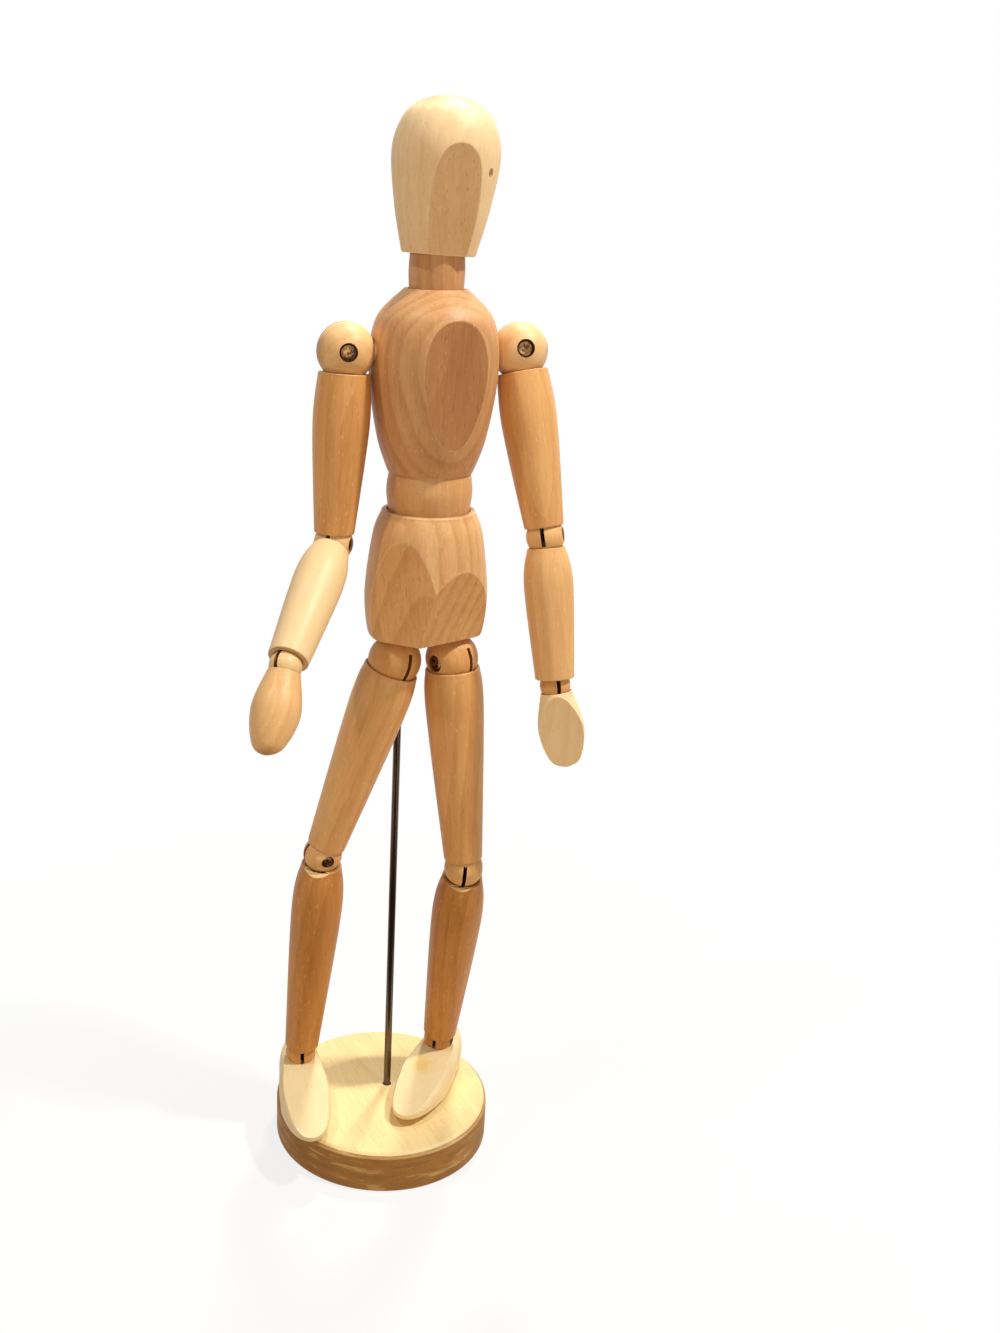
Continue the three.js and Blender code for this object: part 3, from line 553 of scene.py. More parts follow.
def keep_result(obj):
    """Swaps an object's mesh for what its modifiers make of it."""
    bpy.context.view_layer.update()
    graph = bpy.context.evaluated_depsgraph_get()
    mesh = bpy.data.meshes.new_from_object(obj.evaluated_get(graph), depsgraph=graph)
    obj.modifiers.clear()
    obj.data = mesh
    mesh.name = obj.name


def turned(name, points, sides, finish, place):
    obj = grown(name, LATHE, points, {"Sides": sides, "Finish": finish})
    obj.data.transform(place)
    face_outwards(obj.data)
    return obj


def face_outwards(mesh):
    work = bmesh.new()
    work.from_mesh(mesh)
    bmesh.ops.recalc_face_normals(work, faces=work.faces)
    work.to_mesh(mesh)
    work.free()


# Outlines, in millimetres: rows of (radius, height)

def flank(stations, steps):
    """A smooth run through the stations."""
    p = np.array(stations, float)
    last = len(p) - 1
    run = []
    for t in np.linspace(0, last, steps + 1):
        i = min(int(t), last - 1)
        w = t - i
        before, here, then, after = p[max(i - 1, 0)], p[i], p[i + 1], p[min(i + 2, last)]
        go, come = (then - before) / 2, (after - here) / 2
        run.append((2 * here - 2 * then + go + come) * w ** 3
                   + (-3 * here + 3 * then - 2 * go - come) * w ** 2 + go * w + here)
    return [(max(float(r), 0.0), float(z)) for r, z in run]


def arc(radius, start, stop, steps, level=0.0, out=0.0):
    angles = np.radians(np.linspace(start, stop, steps + 1))
    return [(max(out + radius * math.cos(a), 0.0), level + radius * math.sin(a)) for a in angles]


def angle_at(radius, height):
    return math.degrees(math.asin(height / radius))


def angle_out(radius, out):
    """The angle at which an arc is so far out from its middle."""
    return angle_at(radius, math.sqrt(radius ** 2 - out ** 2))


def outside_ball(points, level, radius):
    """The part of a run outside a ball on the axis, cut exactly where it meets it."""
    far = [math.hypot(r, z - level) - radius for r, z in points]
    kept = []
    for i, (here, d) in enumerate(zip(points, far)):
        if i and d * far[i - 1] < 0:
            w = far[i - 1] / (far[i - 1] - d)
            kept.append(tuple(np.array(points[i - 1]) * (1 - w) + np.array(here) * w))
        if d >= 0:
            kept.append(here)
    return kept


# Points along each kind of run
CUP_STEPS = 18
EDGE_STEPS = 5
FLANK_STEPS = {"limb": 56, "barrel": 20, "pelvis": 90, "chest": 110, "head": 120, "hand": 80}
BALL_STEPS = 40
SPIGOT_EDGE = 0.4
HEM_EDGE = 0.5  # how far the pelvis's underside is drawn in
HEM_ROUND = 0.3  # share of the head's hem edge where its round begins


def limb_outline(limb, reach):
    spec = LIMBS[limb]
    near, far = (JOINTS[k]["ball"] + SEAT_GAP for k in spec["ends"])
    near_rim, far_rim = spec["rims"]
    top, foot = -near_rim, far_rim - reach
    e = spec["edge"]
    upper, belly, end = (spec[k] * INSIDE for k in ("top", "belly", "end"))
    return (
        arc(far, 90, angle_at(far, far_rim), CUP_STEPS, level=-reach)
        + arc(e, -90, 0, EDGE_STEPS, level=foot + e, out=end - e)
        + flank([(end, foot + e), (belly, top - spec["drop"]), (upper, top - e)], FLANK_STEPS["limb"])[1:-1]
        + arc(e, 0, 90, EDGE_STEPS, level=top - e, out=upper - e)
        + arc(near, -angle_at(near, near_rim), -90, CUP_STEPS)
    )


def ball_outline(kind):
    spec = JOINTS[kind]
    return arc(spec["ball"], -90, angle_out(spec["ball"], spec["spigot"]), BALL_STEPS) + [
        (spec["spigot"], spec["end"] - SPIGOT_EDGE), (spec["spigot"] - SPIGOT_EDGE, spec["end"]),
        (0.0, spec["end"])]


def barrel_outline(spec):
    ball, rim, half = spec["ball"], spec["rim"], spec["half"]
    low = arc(ball, -angle_out(ball, spec["bore"]), -angle_out(ball, rim), CUP_STEPS)
    side = flank([(rim, -half), (spec["radius"], 0), (rim, half)], FLANK_STEPS["barrel"])
    high = [(r, -z) for r, z in reversed(low)]
    return low + side + high + [low[0]]


def pelvis_outline():
    cup = WAIST["ball"] + SEAT_GAP
    level = PELVIS["height"] + WAIST["half"]
    side = flank(PELVIS["stations"], FLANK_STEPS["pelvis"])
    top_radius, top_level = PELVIS["stations"][-1]
    e = PELVIS["edge"]
    return (
        [(0.0, 0.0), (PELVIS["stations"][0][0] - HEM_EDGE, 0.0)]
        + side[1:]
        + arc(e, 0, 90, EDGE_STEPS, level=top_level, out=top_radius - e)[1:]
        + arc(cup, -angle_at(cup, WAIST["half"]), -angle_out(cup, PELVIS["pocket"]), CUP_STEPS, level=level)
        + [(PELVIS["pocket"], PELVIS["pocket_floor"]), (0.0, PELVIS["pocket_floor"])]
    )


def chest_outline():
    low_cup, high_cup = WAIST["ball"] + SEAT_GAP, NECK["ball"] + SEAT_GAP
    low_level, high_level = -WAIST["half"], CHEST["height"] + NECK["half"]
    side = outside_ball(flank(CHEST["stations"], FLANK_STEPS["chest"]), low_level, low_cup)
    meet_level = side[0][1]
    bore = CHEST["waist_bore"]
    return (
        [(0.0, CHEST["bore_top"]), (bore, CHEST["bore_top"])]
        + arc(low_cup, angle_out(low_cup, bore), angle_at(low_cup, meet_level - low_level), CUP_STEPS,
              level=low_level)[:-1]
        + side
        + arc(high_cup, -angle_at(high_cup, NECK["half"]), -angle_out(high_cup, CHEST["pocket"]), CUP_STEPS,
              level=high_level)
        + [(CHEST["pocket"], CHEST["pocket_floor"]), (0.0, CHEST["pocket_floor"])]
    )


def head_outline():
    cup = NECK["ball"] + SEAT_GAP
    bore = HEAD["bore"]
    hem, e = HEAD["stations"][0][0], HEAD["edge"]
    return (
        [(0.0, HEAD["bore_top"]), (bore, HEAD["bore_top"])]
        + arc(cup, angle_out(cup, bore), angle_at(cup, NECK["half"]), CUP_STEPS, level=-NECK["half"])
        + [(hem - e, 0.0), (hem - HEM_ROUND * e, HEM_ROUND * e)]
        + flank(HEAD["stations"], FLANK_STEPS["head"])[2:]
    )


def hand_outline():
    cup = JOINTS["wrist"]["ball"] + SEAT_GAP
    side = [(r * HAND["inside"], z) for r, z in flank(HAND["stations"], FLANK_STEPS["hand"])]
    return side + arc(cup, -angle_at(cup, HAND["rim"]), -90, CUP_STEPS)


# Cutting: flats sawn with a plane, and seats, slots and bores

SAWN_RIM = 0.4
ON_PLANE = 1e-7
SAWN, PARED_AND_HIGHLIT = 1.0, -1.0  # marks of a sawn face and of a pared one, whose pale colour is partly a worn chamfer and partly a painted highlight


def sawn_flat(obj, place, heading, lean, depth):
    """Saws a flat: its heading, the lean back of its top, and its depth from the axis at the foot."""
    out = ahead(heading)
    a = math.radians(lean)
    normal = (place.to_3x3() @ (out * math.cos(a) - UP * math.sin(a))).normalized()
    point = place @ (out * depth * MM)
    saw_plane(obj, point, normal)


def saw_plane(obj, point, normal, mark=SAWN):
    """Takes away all beyond a plane and closes the mesh with a marked face."""
    work = bmesh.new()
    work.from_mesh(obj.data)
    sawn = work.faces.layers.float.get("sawn") or work.faces.layers.float.new("sawn")
    cut = bmesh.ops.bisect_plane(work, geom=work.verts[:] + work.edges[:] + work.faces[:], dist=ON_PLANE,
                                 plane_co=point, plane_no=normal, clear_outer=True)
    rim = [g for g in cut["geom_cut"] if isinstance(g, bmesh.types.BMEdge)]
    if rim:
        faces = bmesh.ops.edgeloop_fill(work, edges=rim)["faces"]
        ring = bmesh.ops.inset_region(work, faces=faces, thickness=SAWN_RIM * MM, use_even_offset=True)
        for f in faces + ring["faces"]:
            f[sawn] = mark
    bmesh.ops.recalc_face_normals(work, faces=work.faces)
    work.to_mesh(obj.data)
    work.free()


def plain_shape(name, place, shape, **sizes):
    """An object of one of Blender's plain shapes, set at a place."""
    work = bmesh.new()
    shape(work, **sizes)
    mesh = bpy.data.meshes.new(name)
    work.to_mesh(mesh)
    work.free()
    mesh.transform(place)
    return new_object(name, mesh)


def round_cut(radius, low, high, place):
    """A round hole along Z of a frame, between two heights in millimetres."""
    halfway = Matrix.Translation((0, 0, (low + high) / 2 * MM))
    return plain_shape("cutter", place, bmesh.ops.create_cone, cap_ends=True, segments=SIDES["bore"],
                       radius1=radius * MM, radius2=radius * MM, depth=(high - low) * MM, matrix=halfway)


def block_cut(size, level, place):
    """A block about a level on Z of a frame, in millimetres."""
    sized = Matrix.Translation((0, 0, level * MM)) @ Matrix.Diagonal([s * MM for s in size] + [1])
    return plain_shape("cutter", place, bmesh.ops.create_cube, size=1.0, matrix=sized)


def cut_away(obj, cutters):
    for tool in cutters:
        modifier = obj.modifiers.new("cut", "BOOLEAN")
        modifier.operation = "DIFFERENCE"
        modifier.solver = "EXACT"
        modifier.object = tool
    finish = obj.data.materials[0]
    keep_result(obj)
    one_finish(obj, finish)
    for tool in cutters:
        mesh = tool.data
        bpy.data.objects.remove(tool)
        bpy.data.meshes.remove(mesh)


ALONG_X = Matrix.Rotation(math.pi / 2, 4, "Y")
OVERLAP = 0.1  # how far one hole runs into the next


def ball_tools(kind, place):
    """What a ball loses: the saw slot for the tongue and the sunk hole for the screw."""
    spec = JOINTS[kind]
    screw = SCREWS[spec["screw"]]
    slot_top = spec["eye"] + SEAT_GAP
    depth = spec["ball"] + slot_top + SEAT_GAP
    floor = spec["ball"] - screw["sunk"]
    return [
        block_cut((KERF, 3 * spec["ball"], depth), slot_top - depth / 2, place),
        round_cut(screw["head"] + SEAT_GAP, floor, 2 * spec["ball"], place @ ALONG_X),
        round_cut(screw["shank"] + SEAT_GAP, -SCREW_PAST - SEAT_GAP, floor + OVERLAP,
                  place @ ALONG_X),
    ]


def seat_tool(side, kind):
    """A ball's seat in the next piece."""
    return plain_shape("cutter", balls[side][kind], bmesh.ops.create_uvsphere, u_segments=SIDES["ball"],
                       v_segments=SIDES["ball"] // 2, radius=(JOINTS[kind]["ball"] + SEAT_GAP) * MM)


def spigot_tool(side, kind):
    spec = JOINTS[kind]
    return round_cut(spec["spigot"] + SEAT_GAP, 0.0, spec["end"] + SEAT_GAP, balls[side][kind])


def tongue_tool(side, kind, towards):
    """The mortise for a tongue, in the limb that lies that way from the joint."""
    depth = JOINTS[kind]["tang"] + SEAT_GAP
    wide = 2 * (JOINTS[kind]["eye"] + SEAT_GAP)
    place = placed(joint_at(side, kind), -towards, balls[side][kind].col[0].xyz)
    return block_cut((KERF, wide, depth), -depth / 2, place)


# Finishing touches on each mesh: sharp edges, grain that follows the piece, and worn edges

SHARP = math.radians(32)
WEAR = {"from": 0.2, "full": 0.7}  # bend of an edge, in radians, where wear begins and where it is full
WIDE_FACE = 8  # a face with more sides than this is a sawn flat, and wear stays at its rim
END_GRAIN = {"from": 0.75, "span": 0.2}  # how squarely a face looks along the grain


def name_number(name, spread):
    """A steady number between 0 and 1 from a name."""
    return (sum((i + 3) * ord(c) * spread for i, c in enumerate(name)) % 997) / 997


def grain_shift(name, pith):
    """From a piece's own frame to the tree it was cut from."""
    return Vector((pith[0], pith[1], pith[2] + 300 * name_number(name, 7))) * MM


def soften(mesh):
    """Smooth shading, with the corners kept sharp."""
    mesh.polygons.foreach_set("use_smooth", [True] * len(mesh.polygons))
    mesh.set_sharp_from_angle(angle=SHARP)


def listed(items, field, width=1, kind=float):
    """One field of a mesh's items as an array."""
    values = np.zeros(len(items) * width, kind)
    items.foreach_get(field, values)
    return values.reshape(-1, width) if width > 1 else values


def note(mesh, name, domain, values):
    """Writes an attribute: a vector for rows of three, and else a number."""
    kind, field = ("FLOAT_VECTOR", "vector") if values.ndim > 1 else ("FLOAT", "value")
    mesh.attributes.new(name, kind, domain).data.foreach_set(field, values.astype(np.float32).ravel())


def wear(mesh):
    """How worn each corner of each face is: full at sharp outer edges, and nothing on the wide flats."""
    work = bmesh.new()
    work.from_mesh(mesh)
    worn = np.zeros(len(mesh.vertices), np.float32)
    for e in work.edges:
        if len(e.link_faces) == 2 and e.is_convex:
            bend = e.calc_face_angle(0.0)
            if bend > WEAR["from"]:
                strength = min(bend / WEAR["full"], 1.0)
                for v in e.verts:
                    worn[v.index] = max(worn[v.index], strength)
    work.free()
    sides = listed(mesh.polygons, "loop_total", kind=np.int32)
    corners = listed(mesh.loops, "vertex_index", kind=np.int32)
    return worn[corners] * np.repeat(sides <= WIDE_FACE, sides)


def finish_piece(obj, place, pith, tone):
    """Gives a piece its grain frame (pith is where the tree's middle lay, in millimetres), tone and edges."""
    mesh = obj.data
    soften(mesh)
    inverse = np.array(place.inverted())
    local = listed(mesh.vertices, "co", 3) @ inverse[:3, :3].T + inverse[:3, 3]
    note(mesh, "grain", "POINT", local + np.array(grain_shift(obj.name, pith)))
    note(mesh, "edge", "CORNER", wear(mesh))
    along = np.abs(listed(mesh.polygons, "normal", 3) @ np.array(place.col[2].xyz))
    note(mesh, "ends", "FACE", np.clip((along - END_GRAIN["from"]) / END_GRAIN["span"], 0, 1))
    note(mesh, "tone", "POINT", np.full(len(mesh.vertices), tone))


def stand_for(obj, node, body):
    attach(obj, body)
    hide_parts(node)


# Stand

WALL_IN = 0.4  # share of the broken edge that counts as the base's wall
BASE_GRAIN_TURN = 24.0
BASE_CUT = ((20, 46, 0), 0.0)  # where in the tree it was cut, and its tone


def make_stand():
    e, foot, r, h, soft = (BASE[k] for k in ("edge", "foot", "radius", "height", "soft"))
    outline = (
        [(0.0, 0.0), (r - foot, 0.0)]
        + arc(foot, -90, 0, 4, level=foot, out=r - foot)[1:]
        + [(r, h - e - soft), (r - 0.1 * soft, h - e), (r - 0.5 * e, h - 0.5 * e), (r - e, h - 0.1 * soft)]
        + [(r - e - soft, h), (r * 0.5, h), (0.0, h)]
    )
    base = turned("base_board", outline, SIDES["base"], base_wood, Matrix())
    cut_away(base, [round_cut(ROD["radius"] + SEAT_GAP, h - BASE["socket"], 2 * h, rod_frame)])
    # The base's wall is marked like a sawn face, which darkens and mottles it: partly its side grain, partly
    # painted shade on the side that the light from above misses.
    wall = base.data.attributes.new("sawn", "FLOAT", "FACE")
    for face, mark in zip(base.data.polygons, wall.data):
        mark.value = SAWN if math.hypot(face.center.x, face.center.y) > (r - WALL_IN * e) * MM else 0.0
    along = (Matrix.Rotation(math.radians(90), 4, "X")
             @ Matrix.Rotation(math.radians(BASE_GRAIN_TURN), 4, "Y"))
    finish_piece(base, along, *BASE_CUT)
    stand_for(base, "base", "stand")
    low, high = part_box("rod")
    r, b = ROD["radius"], ROD["edge"]
    z0, z1 = low.z / MM, high.z / MM
    outline = [(0.0, z0), (r - b, z0), (r, z0 + b), (r, (z0 + z1) / 2), (r, z1 - b), (r - b, z1), (0.0, z1)]
    rod = turned("bright_rod", outline, SIDES["rod"], rod_finish, rod_frame)
    soften(rod.data)
    stand_for(rod, "rod", "rod")


# Trunk

PIN_HOLE = {"radius": 1.1, "low": -14.0, "high": 24.0}
HEAD_PIN_HOLE = {"low": -6.3, "high": 30.0}
# Where in the tree each piece was cut, in millimetres from the pith, and its tone
TRUNK_CUT = {
    "pelvis": ((-30, -18, 0), 0.1), "waist": ((30, -12, 0), 0.55), "chest": ((-4, -30, 0), 0.35),
    "neck": ((30, -12, 0), 0.7), "head": ((-24, 38, 0), 0.0),
}


def pin_tool(node, place):
    """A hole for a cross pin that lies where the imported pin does."""
    centre = place.inverted() @ box_middle(node)
    lying = place @ Matrix.Translation((0, centre.y, centre.z)) @ Matrix.Rotation(-math.pi / 2, 4, "X")
    return round_cut(PIN_HOLE["radius"], PIN_HOLE["low"], PIN_HOLE["high"], lying)


def seat_tools(kind):
    """What a block of the trunk loses at its joints: both seats, and the bores for their spigots."""
    return [tool(side, kind) for side in balls for tool in (seat_tool, spigot_tool)]


def make_block(name, outline, finish, flats=(), tools=(), ending="_turned"):
    place = trunk_frames[name]
    block = turned(name + ending, outline, SIDES["trunk"], finish, place)
    for flat in flats:
        sawn_flat(block, place, *flat)
    if tools:
        cut_away(block, tools)
    finish_piece(block, place, *TRUNK_CUT[name])
    stand_for(block, name, name)


def make_trunk():
    rod_bore = round_cut(ROD["radius"] + SEAT_GAP, 0.0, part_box("rod")[1].z / MM + SEAT_GAP, rod_frame)
    tools = [rod_bore, *seat_tools("hip"), pin_tool("pelvis_pin", trunk_frames["pelvis"])]
    make_block("pelvis", pelvis_outline(), pelvis_wood, PELVIS["flats"], tools)
    make_block("waist", barrel_outline(WAIST), barrel_wood, ending="_barrel")
    make_block("neck", barrel_outline(NECK), chest_wood, ending="_barrel")
    tools = [pin_tool("chest_pin", trunk_frames["chest"]), *seat_tools("shoulder")]
    make_block("chest", chest_outline(), chest_wood, CHEST["flats"], tools)
    place = trunk_frames["head"]
    pin_at = place.inverted() @ box_middle("head_pin")
    out = (place.to_3x3() @ Vector((pin_at.x, pin_at.y, 0))).normalized()
    lying = placed(place @ Vector((0, 0, pin_at.z)), out, place.col[2].xyz)
    pin_hole = round_cut(PIN_HOLE["radius"], HEAD_PIN_HOLE["low"], HEAD_PIN_HOLE["high"], lying)
    make_block("head", head_outline(), head_wood, HEAD["flats"], [pin_hole])


# Limbs

BALL_TONES = table("hip knee shoulder elbow wrist", right=(0.2, -0.1, -0.25, -0.4, -0.5),
                   left=(0.2, -0.1, -0.4, -0.2))
SLOT_SHADE = 1.9  # how strongly a slot's inside is darkened: painted shade of the deep kerf
SLOT_IN = 0.3  # how far under the ball's surface that painted shade begins


def paint_slot_shade(ball, place, radius):
    """Marks the faces inside a ball's saw slot and screw hole, which are painted dark as the shade that falls
    in them.
    """
    back = place.inverted()
    for face, mark in zip(ball.data.polygons, ball.data.attributes["ends"].data):
        if (back @ face.center).length < (radius - SLOT_IN) * MM:
            mark.value = SLOT_SHADE


def make_ball(side, kind):
    name = f"{side}_{kind}_ball"
    place = balls[side][kind]
    finish = shin_wood if kind == "ankle" else limb_wood
    ball = turned(name + "_turned", ball_outline(kind), SIDES["ball"], finish, place)
    cut_away(ball, ball_tools(kind, place))
    pith = (18 + 20 * name_number(name, 3), 12, 0)
    tone = BALL_TONES[side].get(kind, 0.4 * name_number(name, 5) - 0.2)
    finish_piece(ball, place, pith, tone)
    paint_slot_shade(ball, place, JOINTS[kind]["ball"])
    stand_for(ball, name, name)


def make_screw(side, kind):
    name = f"{side}_{kind}_screw"
    spec = JOINTS[kind]
    screw = SCREWS[spec["screw"]]
    under = spec["ball"] - screw["sunk"] + SEAT_GAP
    top = under + screw["high"]
    crown = SCREW_CROWN["share"] * screw["high"]
    outline = [(0.0, -SCREW_PAST), (SCREW_TIP["share"] * screw["shank"], -SCREW_PAST),
               (screw["shank"], -SCREW_PAST + SCREW_TIP["length"]), (screw["shank"], under),
               (screw["head"], under), (screw["head"], top - crown)]
    outline += [(screw["head"] * math.cos(a), top - crown + crown * math.sin(a))
                for a in np.linspace(SCREW_CROWN["start"], math.pi / 2, SCREW_CROWN["points"])]
    outline[-1] = (0.0, top)
    place = balls[side][kind] @ ALONG_X @ Matrix.Rotation(2 * math.pi * name_number(name, 11), 4, "Z")
    obj = grown(name + "_cross_head", SCREW, outline, {
        "Sides": SIDES["screw"], "Finish": screw_finish, "Head top": top * MM,
        "Cross length": screw["cross"] * MM, "Cross width": screw["width"] * MM,
        "Cross depth": screw["depth"] * MM,
        "Place": tuple(place.translation), "Turn": tuple(place.to_euler()),
    })
    face_outwards(obj.data)
    soften(obj.data)
    stand_for(obj, name, f"{side}_{kind}_ball")


# Each shin's upper rim is pared away in front, and the pared face is made pale: partly a worn chamfer, partly
# a painted highlight
PARED_RIM = table("down heading", right=(1.6, -14.0), left=(1.1, -6.0))
PARED_SLOPE = 50.0


def pare_rim(obj, place, spec, side):
    front = ahead(PARED_RIM[side]["heading"])
    up = place.col[2].xyz
    out = (front - up * front.dot(up)).normalized()
    a = math.radians(PARED_SLOPE)
    down = spec["rims"][0] + PARED_RIM[side]["down"]
    foot = place.translation + (out * spec["top"] * INSIDE - up * down) * MM
    saw_plane(obj, foot, out * math.cos(a) + up * math.sin(a), mark=PARED_AND_HIGHLIT)


LIMB_TONES = table("thigh shin upper_arm forearm", right=(-0.06, 0.2, 0.85, -0.7),
                   left=(0.2, 0.3, 0.0, -0.15))


def make_limb(side, limb):
    spec = LIMBS[limb]
    near, far = spec["ends"]
    place = limb_frame(side, limb)
    reach = (joint_at(side, near) - joint_at(side, far)).length / MM
    name = f"{side}_{limb}"
    finish = shin_wood if limb == "shin" else limb_wood
    obj = turned(name + "_turned", limb_outline(limb, reach), SIDES["limb"], finish, place)
    down = joint_at(side, far) - joint_at(side, near)
    tools = []
    for kind, way in ((near, down), (far, -down)):
        if (kind == far) == (kind in ("elbow", "wrist")):
            tools.append(tongue_tool(side, kind, way))
        else:
            tools.append(spigot_tool(side, kind))
    cut_away(obj, tools)
    if limb == "shin":
        pare_rim(obj, place, spec, side)
    pith = (26 * (1 if side == "left" else -1), -8 - 18 * name_number(name, 13), 0)
    finish_piece(obj, place, pith, LIMB_TONES[side][limb])
    stand_for(obj, name, name)


HAND_PITH = (9, 22, 0)
HAND_TONES = {"right": -0.2, "left": -0.55}
HAND_FINISH = {"right": limb_wood, "left": palm_wood}


def make_hand(side):
    pose = HANDS[side]
    down = downwards(pose["lean"], pose["heading"])
    place = placed(joint_at(side, "wrist"), -down, ahead(pose["palm"] + 90))
    name = f"{side}_hand"
    obj = turned(name + "_turned", hand_outline(), SIDES["limb"], HAND_FINISH[side], place)
    sawn_flat(obj, place, 0.0, *HAND["palm"])
    cut_away(obj, [spigot_tool(side, "wrist")])
    finish_piece(obj, place, HAND_PITH, HAND_TONES[side])
    stand_for(obj, name, name)


# Feet: shaped like a shoe last, with a flat sawn over the instep

def curve_through(pieces, steps):
    """Points along a chain of arcs, each (start, pull, end)."""
    return np.array([(1 - t) ** 2 * a + 2 * t * (1 - t) * b + t * t * c
                     for a, b, c in np.array(pieces) for t in np.linspace(0, 1, steps + 1)])


FOOT_PLAN = [((0.0, 12.0), (7.2, 12.0), (7.2, 0.0)), ((7.2, 0.0), (8.4, -7.75), (8.4, -15.5)),
             ((8.4, -15.5), (6.8, -35.0), (0.0, -35.0))]
PLAN_STEPS = 60
FOOT_RINGS = {"first": 0.012, "last": 0.988, "count": 70}  # shares of the way round from heel to toe
SOLE_POINTS = 5
DOME_POINTS = 37
DOME_POWER = {"across": 0.8, "up": 0.9}  # under 1 is fuller than an ellipse


def foot_shell():
    """The last before cutting, as rings of points from heel to toe, in millimetres."""
    plan = curve_through(FOOT_PLAN, PLAN_STEPS)
    spread = np.concatenate([[0], np.cumsum(np.hypot(*np.diff(plan, axis=0).T))])
    shares = np.linspace(FOOT_RINGS["first"], FOOT_RINGS["last"], FOOT_RINGS["count"])
    stations = np.interp(shares, spread / spread[-1], np.arange(len(plan)))
    half = np.interp(stations, np.arange(len(plan)), plan[:, 0])
    along = np.interp(stations, np.arange(len(plan)), plan[:, 1])
    sole = -FOOT["ankle"]
    rings = []
    for w, y in zip(half, along):
        low = sole
        if y > 0:
            reach = FOOT["heel_round"] ** 2 - y ** 2
            low = max(sole, -math.sqrt(max(reach, 0)))
        if y < -FOOT["spring_start"]:
            sprung = (-y - FOOT["spring_start"]) / (FOOT["toe"] - FOOT["spring_start"])
            low = sole + FOOT["toe_spring"] * sprung
        share = np.clip((y + FOOT["toe"]) / (FOOT["toe"] - FOOT["dome_back"]), 0, 1)
        share = share * share * (3 - 2 * share)
        dome = sole + FOOT["dome_toe"] + (FOOT["dome"] - FOOT["dome_toe"]) * share
        wall = low + (dome - low) * FOOT["wall"]
        ring = [(-w + 2 * w * t, y, low) for t in np.linspace(0, 1, SOLE_POINTS)]
        ring[0], ring[-1] = (-w + FOOT["sole_edge"], y, low), (w - FOOT["sole_edge"], y, low)
        for t in np.linspace(0, math.pi, DOME_POINTS):
            out = math.copysign(abs(math.cos(t)) ** DOME_POWER["across"], math.cos(t))
            ring.append((w * out, y, wall + (dome - wall) * math.sin(t) ** DOME_POWER["up"]))
        rings.append(ring)
    return rings


STAIN = {"at": (-1.0, -13.0, -3.5), "size": 5.0, "strength": 0.55, "colour": tint("e2b64c")}
FOOT_PITH = (16, 26, 0)
FOOT_TONE = -0.55


def make_foot(side):
    place = upright(joint_at(side, "ankle"), FOOT_HEADING[side])
    name = f"{side}_foot"
    work = bmesh.new()
    rows = [[work.verts.new(Vector(p) * MM) for p in ring] for ring in foot_shell()]
    for one, two in zip(rows, rows[1:]):
        n = len(one)
        for i in range(n):
            work.faces.new((one[i], one[(i + 1) % n], two[(i + 1) % n], two[i]))
    for ring in (rows[0], rows[-1]):
        work.faces.new(ring)
    bmesh.ops.recalc_face_normals(work, faces=work.faces)
    mesh = bpy.data.meshes.new(name + "_last")
    work.to_mesh(mesh)
    work.free()
    mesh.materials.append(pale_wood)
    obj = new_object(name + "_last", mesh)
    sole = -FOOT["ankle"]
    (toe_y, toe_z), (in_y, in_z) = FOOT["facet"]
    slope = (in_z - toe_z) / (in_y - toe_y)
    saw_plane(obj, Vector((0, toe_y, sole + toe_z)) * MM, Vector((0, -slope, 1)).normalized())
    saw_plane(obj, Vector((0, 0, FOOT["collar"])) * MM, UP)
    obj.data.transform(place)
    cut_away(obj, [seat_tool(side, "ankle"), tongue_tool(side, "ankle", -UP)])
    lying = place @ Matrix.Rotation(math.radians(90), 4, "X")
    finish_piece(obj, lying, FOOT_PITH, FOOT_TONE)
    if side == "left":
        at = lying.inverted() @ (place @ (Vector(STAIN["at"]) * MM)) + grain_shift(obj.name, FOOT_PITH)
        spot = {**STAIN, "at": at, "size": STAIN["size"] * MM}
        one_finish(obj, wood("pale wood with a yellow stain", spot=spot, **PALE))
    stand_for(obj, name, name)


make_stand()
make_trunk()
for side in balls:
    for kind in KINDS:
        make_ball(side, kind)
        make_screw(side, kind)
    for limb in LIMBS:
        make_limb(side, limb)
    make_hand(side)
    make_foot(side)

# Tongues, pins and springs get the near-black steel that paints the shade of their slots and holes.
for name, node in frame["nodes"].items():
    if name.endswith(("_tongue", "_pin", "_spring")):
        one_finish(node, slot_shade_finish)


# Stage: pale floor, soft light and the camera

WHITE = (1, 1, 1, 1)
FLOOR_COLOUR = (0.8, 0.8, 0.8, 1)
FLOOR_BOUNCE = (0.5, 0.4, 0.29, 1)  # what the floor throws back on the figure, as warm as the room
FLOOR_GLOW = {"share": 0.8, "from": 0.05, "full": 0.30}  # near the base it keeps the figure's shadow
ROOM = {"colour": (1.0, 0.84, 0.66, 1), "strength": 0.24}


def seen():
    """1 where the camera, a mirror or glass looks, and 0 for the light that falls on things."""
    camera, mirror, glass = (shade("LightPath", out=i) for i in (0, 3, 6))
    return Wire.math("MINIMUM", camera + mirror + glass, 1.0)


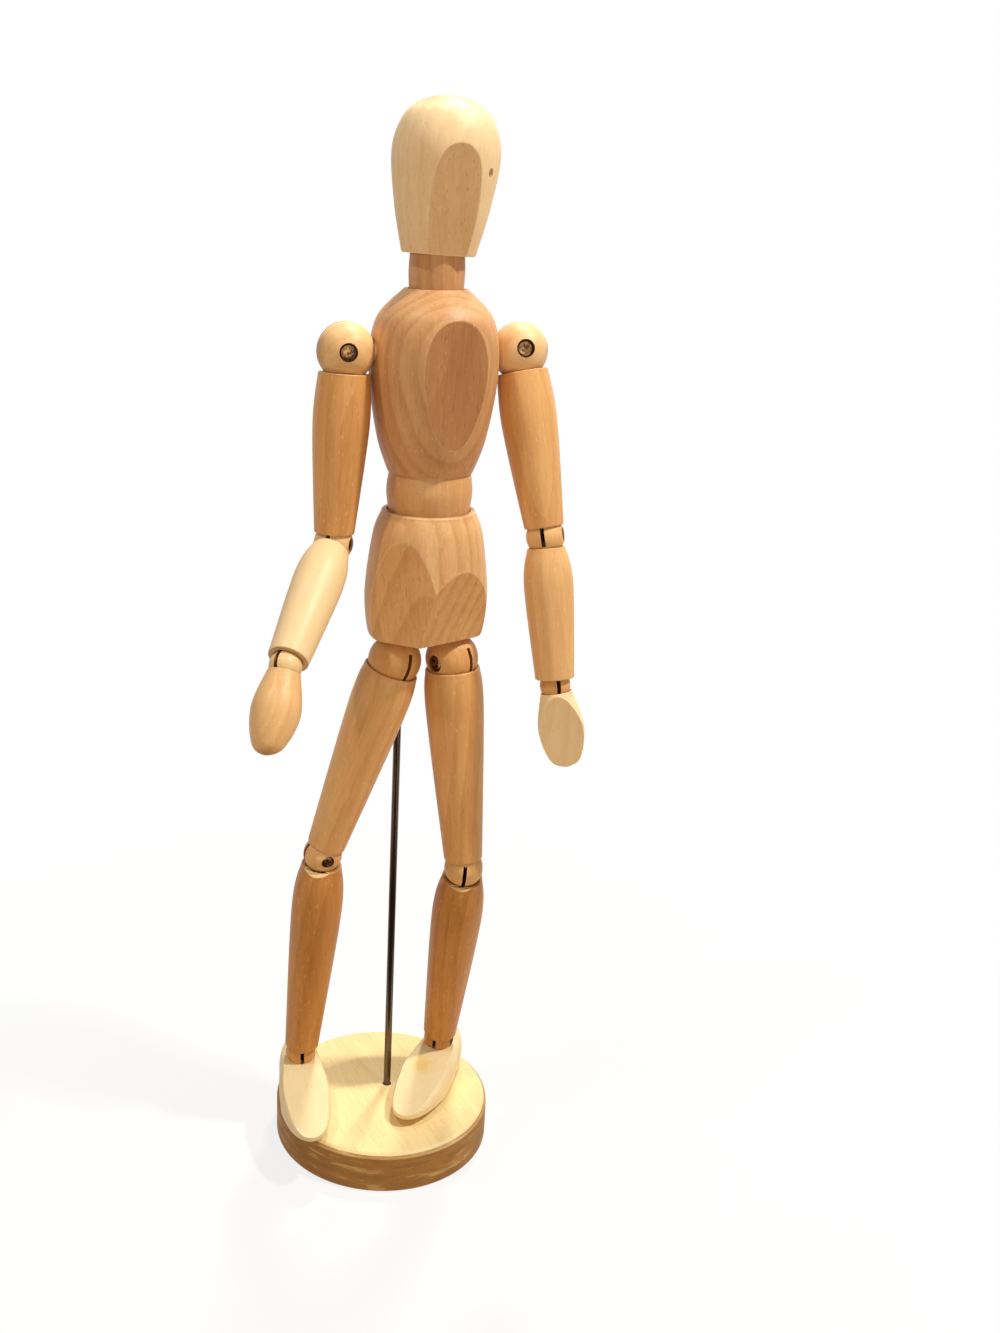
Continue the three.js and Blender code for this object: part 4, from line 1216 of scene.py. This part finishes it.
def pale_floor():
    made, shader = new_finish("pale floor")
    looked_at = seen()
    feed(shader, {"Base Color": blend_colour(looked_at, FLOOR_BOUNCE, FLOOR_COLOUR), "Roughness": 0.9})
    away = vector_math("LENGTH", object_place(), out=1)
    glow = shade("Emission", {"Color": WHITE, "Strength": 1.0})
    lit = Wire(shader.outputs[0])
    full = ease(away, FLOOR_GLOW["from"], FLOOR_GLOW["full"])
    share = FLOOR_GLOW["share"] + (1 - FLOOR_GLOW["share"]) * full
    both = shade("MixShader", {0: looked_at * share, 1: lit, 2: glow})
    feed(Wire.tree.nodes["Material Output"], {"Surface": both})
    return made


def flat_sheet(name, finish, size, centre):
    """A flat sheet of a width and a length, lying about a centre, in metres."""
    lying = Matrix.Translation(centre) @ Matrix.Diagonal((*size, 1, 1))
    sheet = plain_shape(name, lying, bmesh.ops.create_grid, x_segments=1, y_segments=1, size=0.5)
    sheet.data.materials.append(finish)
    return sheet


FLOOR = {"across": 60.0, "level": -0.0002}
CARD = {"near": -0.045, "far": -0.9, "across": 0.32, "level": 0.0005, "colour": (0.035, 0.026, 0.02, 1)}


def make_floor():
    floor = flat_sheet("pale_floor", pale_floor(), (FLOOR["across"],) * 2, (0, 0, FLOOR["level"]))


def make_card():
    """A dark card on the floor in front, which only reflections can see."""
    made, shader = new_finish("dark card")
    feed(shader, {"Base Color": CARD["colour"], "Roughness": 1.0})
    card = flat_sheet("dark_card", made, (CARD["across"], CARD["near"] - CARD["far"]),
                      (0, (CARD["near"] + CARD["far"]) / 2, CARD["level"]))
    for ray in ("camera", "diffuse", "shadow", "transmission"):
        setattr(card, "visible_" + ray, False)


def make_world():
    world = bpy.data.worlds.new("soft room")
    bpy.context.scene.world = world
    world.use_nodes = True
    Wire.tree = world.node_tree
    room = shade("Background", {"Color": ROOM["colour"], "Strength": ROOM["strength"]})
    white = shade("Background", {"Color": WHITE, "Strength": 1.0})
    both = shade("MixShader", {0: seen(), 1: room, 2: white})
    feed(Wire.tree.nodes["World Output"], {"Surface": both})


KEY_COLOUR = (1.0, 0.985, 0.89)
FILL_COLOUR = (1.0, 0.86, 0.69)
# Round lamps: place, height aimed at, width, watts and colour
LAMPS = {
    "overhead behind": ((0.14, 0.40, 1.0), 0.14, 0.10, 5.0, KEY_COLOUR),
    "overhead on the right": ((0.44, -0.14, 0.95), 0.14, 0.06, 6.4, KEY_COLOUR),
    "overhead in front on the left": ((-0.38, -0.26, 1.1), 0.12, 0.05, 2.8, KEY_COLOUR),
    "warm fill in front": ((0.1, -1.0, 0.3), 0.17, 0.6, 1.9, FILL_COLOUR),
}


def make_lamp(name, at, aim, size, watts, colour):
    data = bpy.data.lights.new(name, "AREA")
    data.shape = "DISK"
    data.size = size
    data.energy = watts
    data.color = colour
    obj = new_object(name, data)
    obj.location = at
    obj.rotation_euler = (UP * aim - Vector(at)).to_track_quat("-Z", "Y").to_euler()


CAMERA = {"at": (-0.00104, -0.410, 0.30284), "pitch": 18.403, "roll": 1.553, "lens": 37.777, "shift": 0.0825}
SENSOR = 36.0


def make_camera():
    data = bpy.data.cameras.new("camera")
    data.lens = CAMERA["lens"]
    data.sensor_width = SENSOR
    data.shift_x = CAMERA["shift"]
    data.clip_start, data.clip_end = 0.01, 100.0
    obj = new_object("camera", data)
    turn = (Matrix.Rotation(math.radians(90 - CAMERA["pitch"]), 4, "X")
            @ Matrix.Rotation(math.radians(CAMERA["roll"]), 4, "Z"))
    obj.matrix_world = Matrix.Translation(CAMERA["at"]) @ turn
    bpy.context.scene.camera = obj


make_floor()
make_card()
make_world()
for name, setting in LAMPS.items():
    make_lamp(name, *setting)
make_camera()
bpy.context.scene.view_settings.view_transform = "Standard"
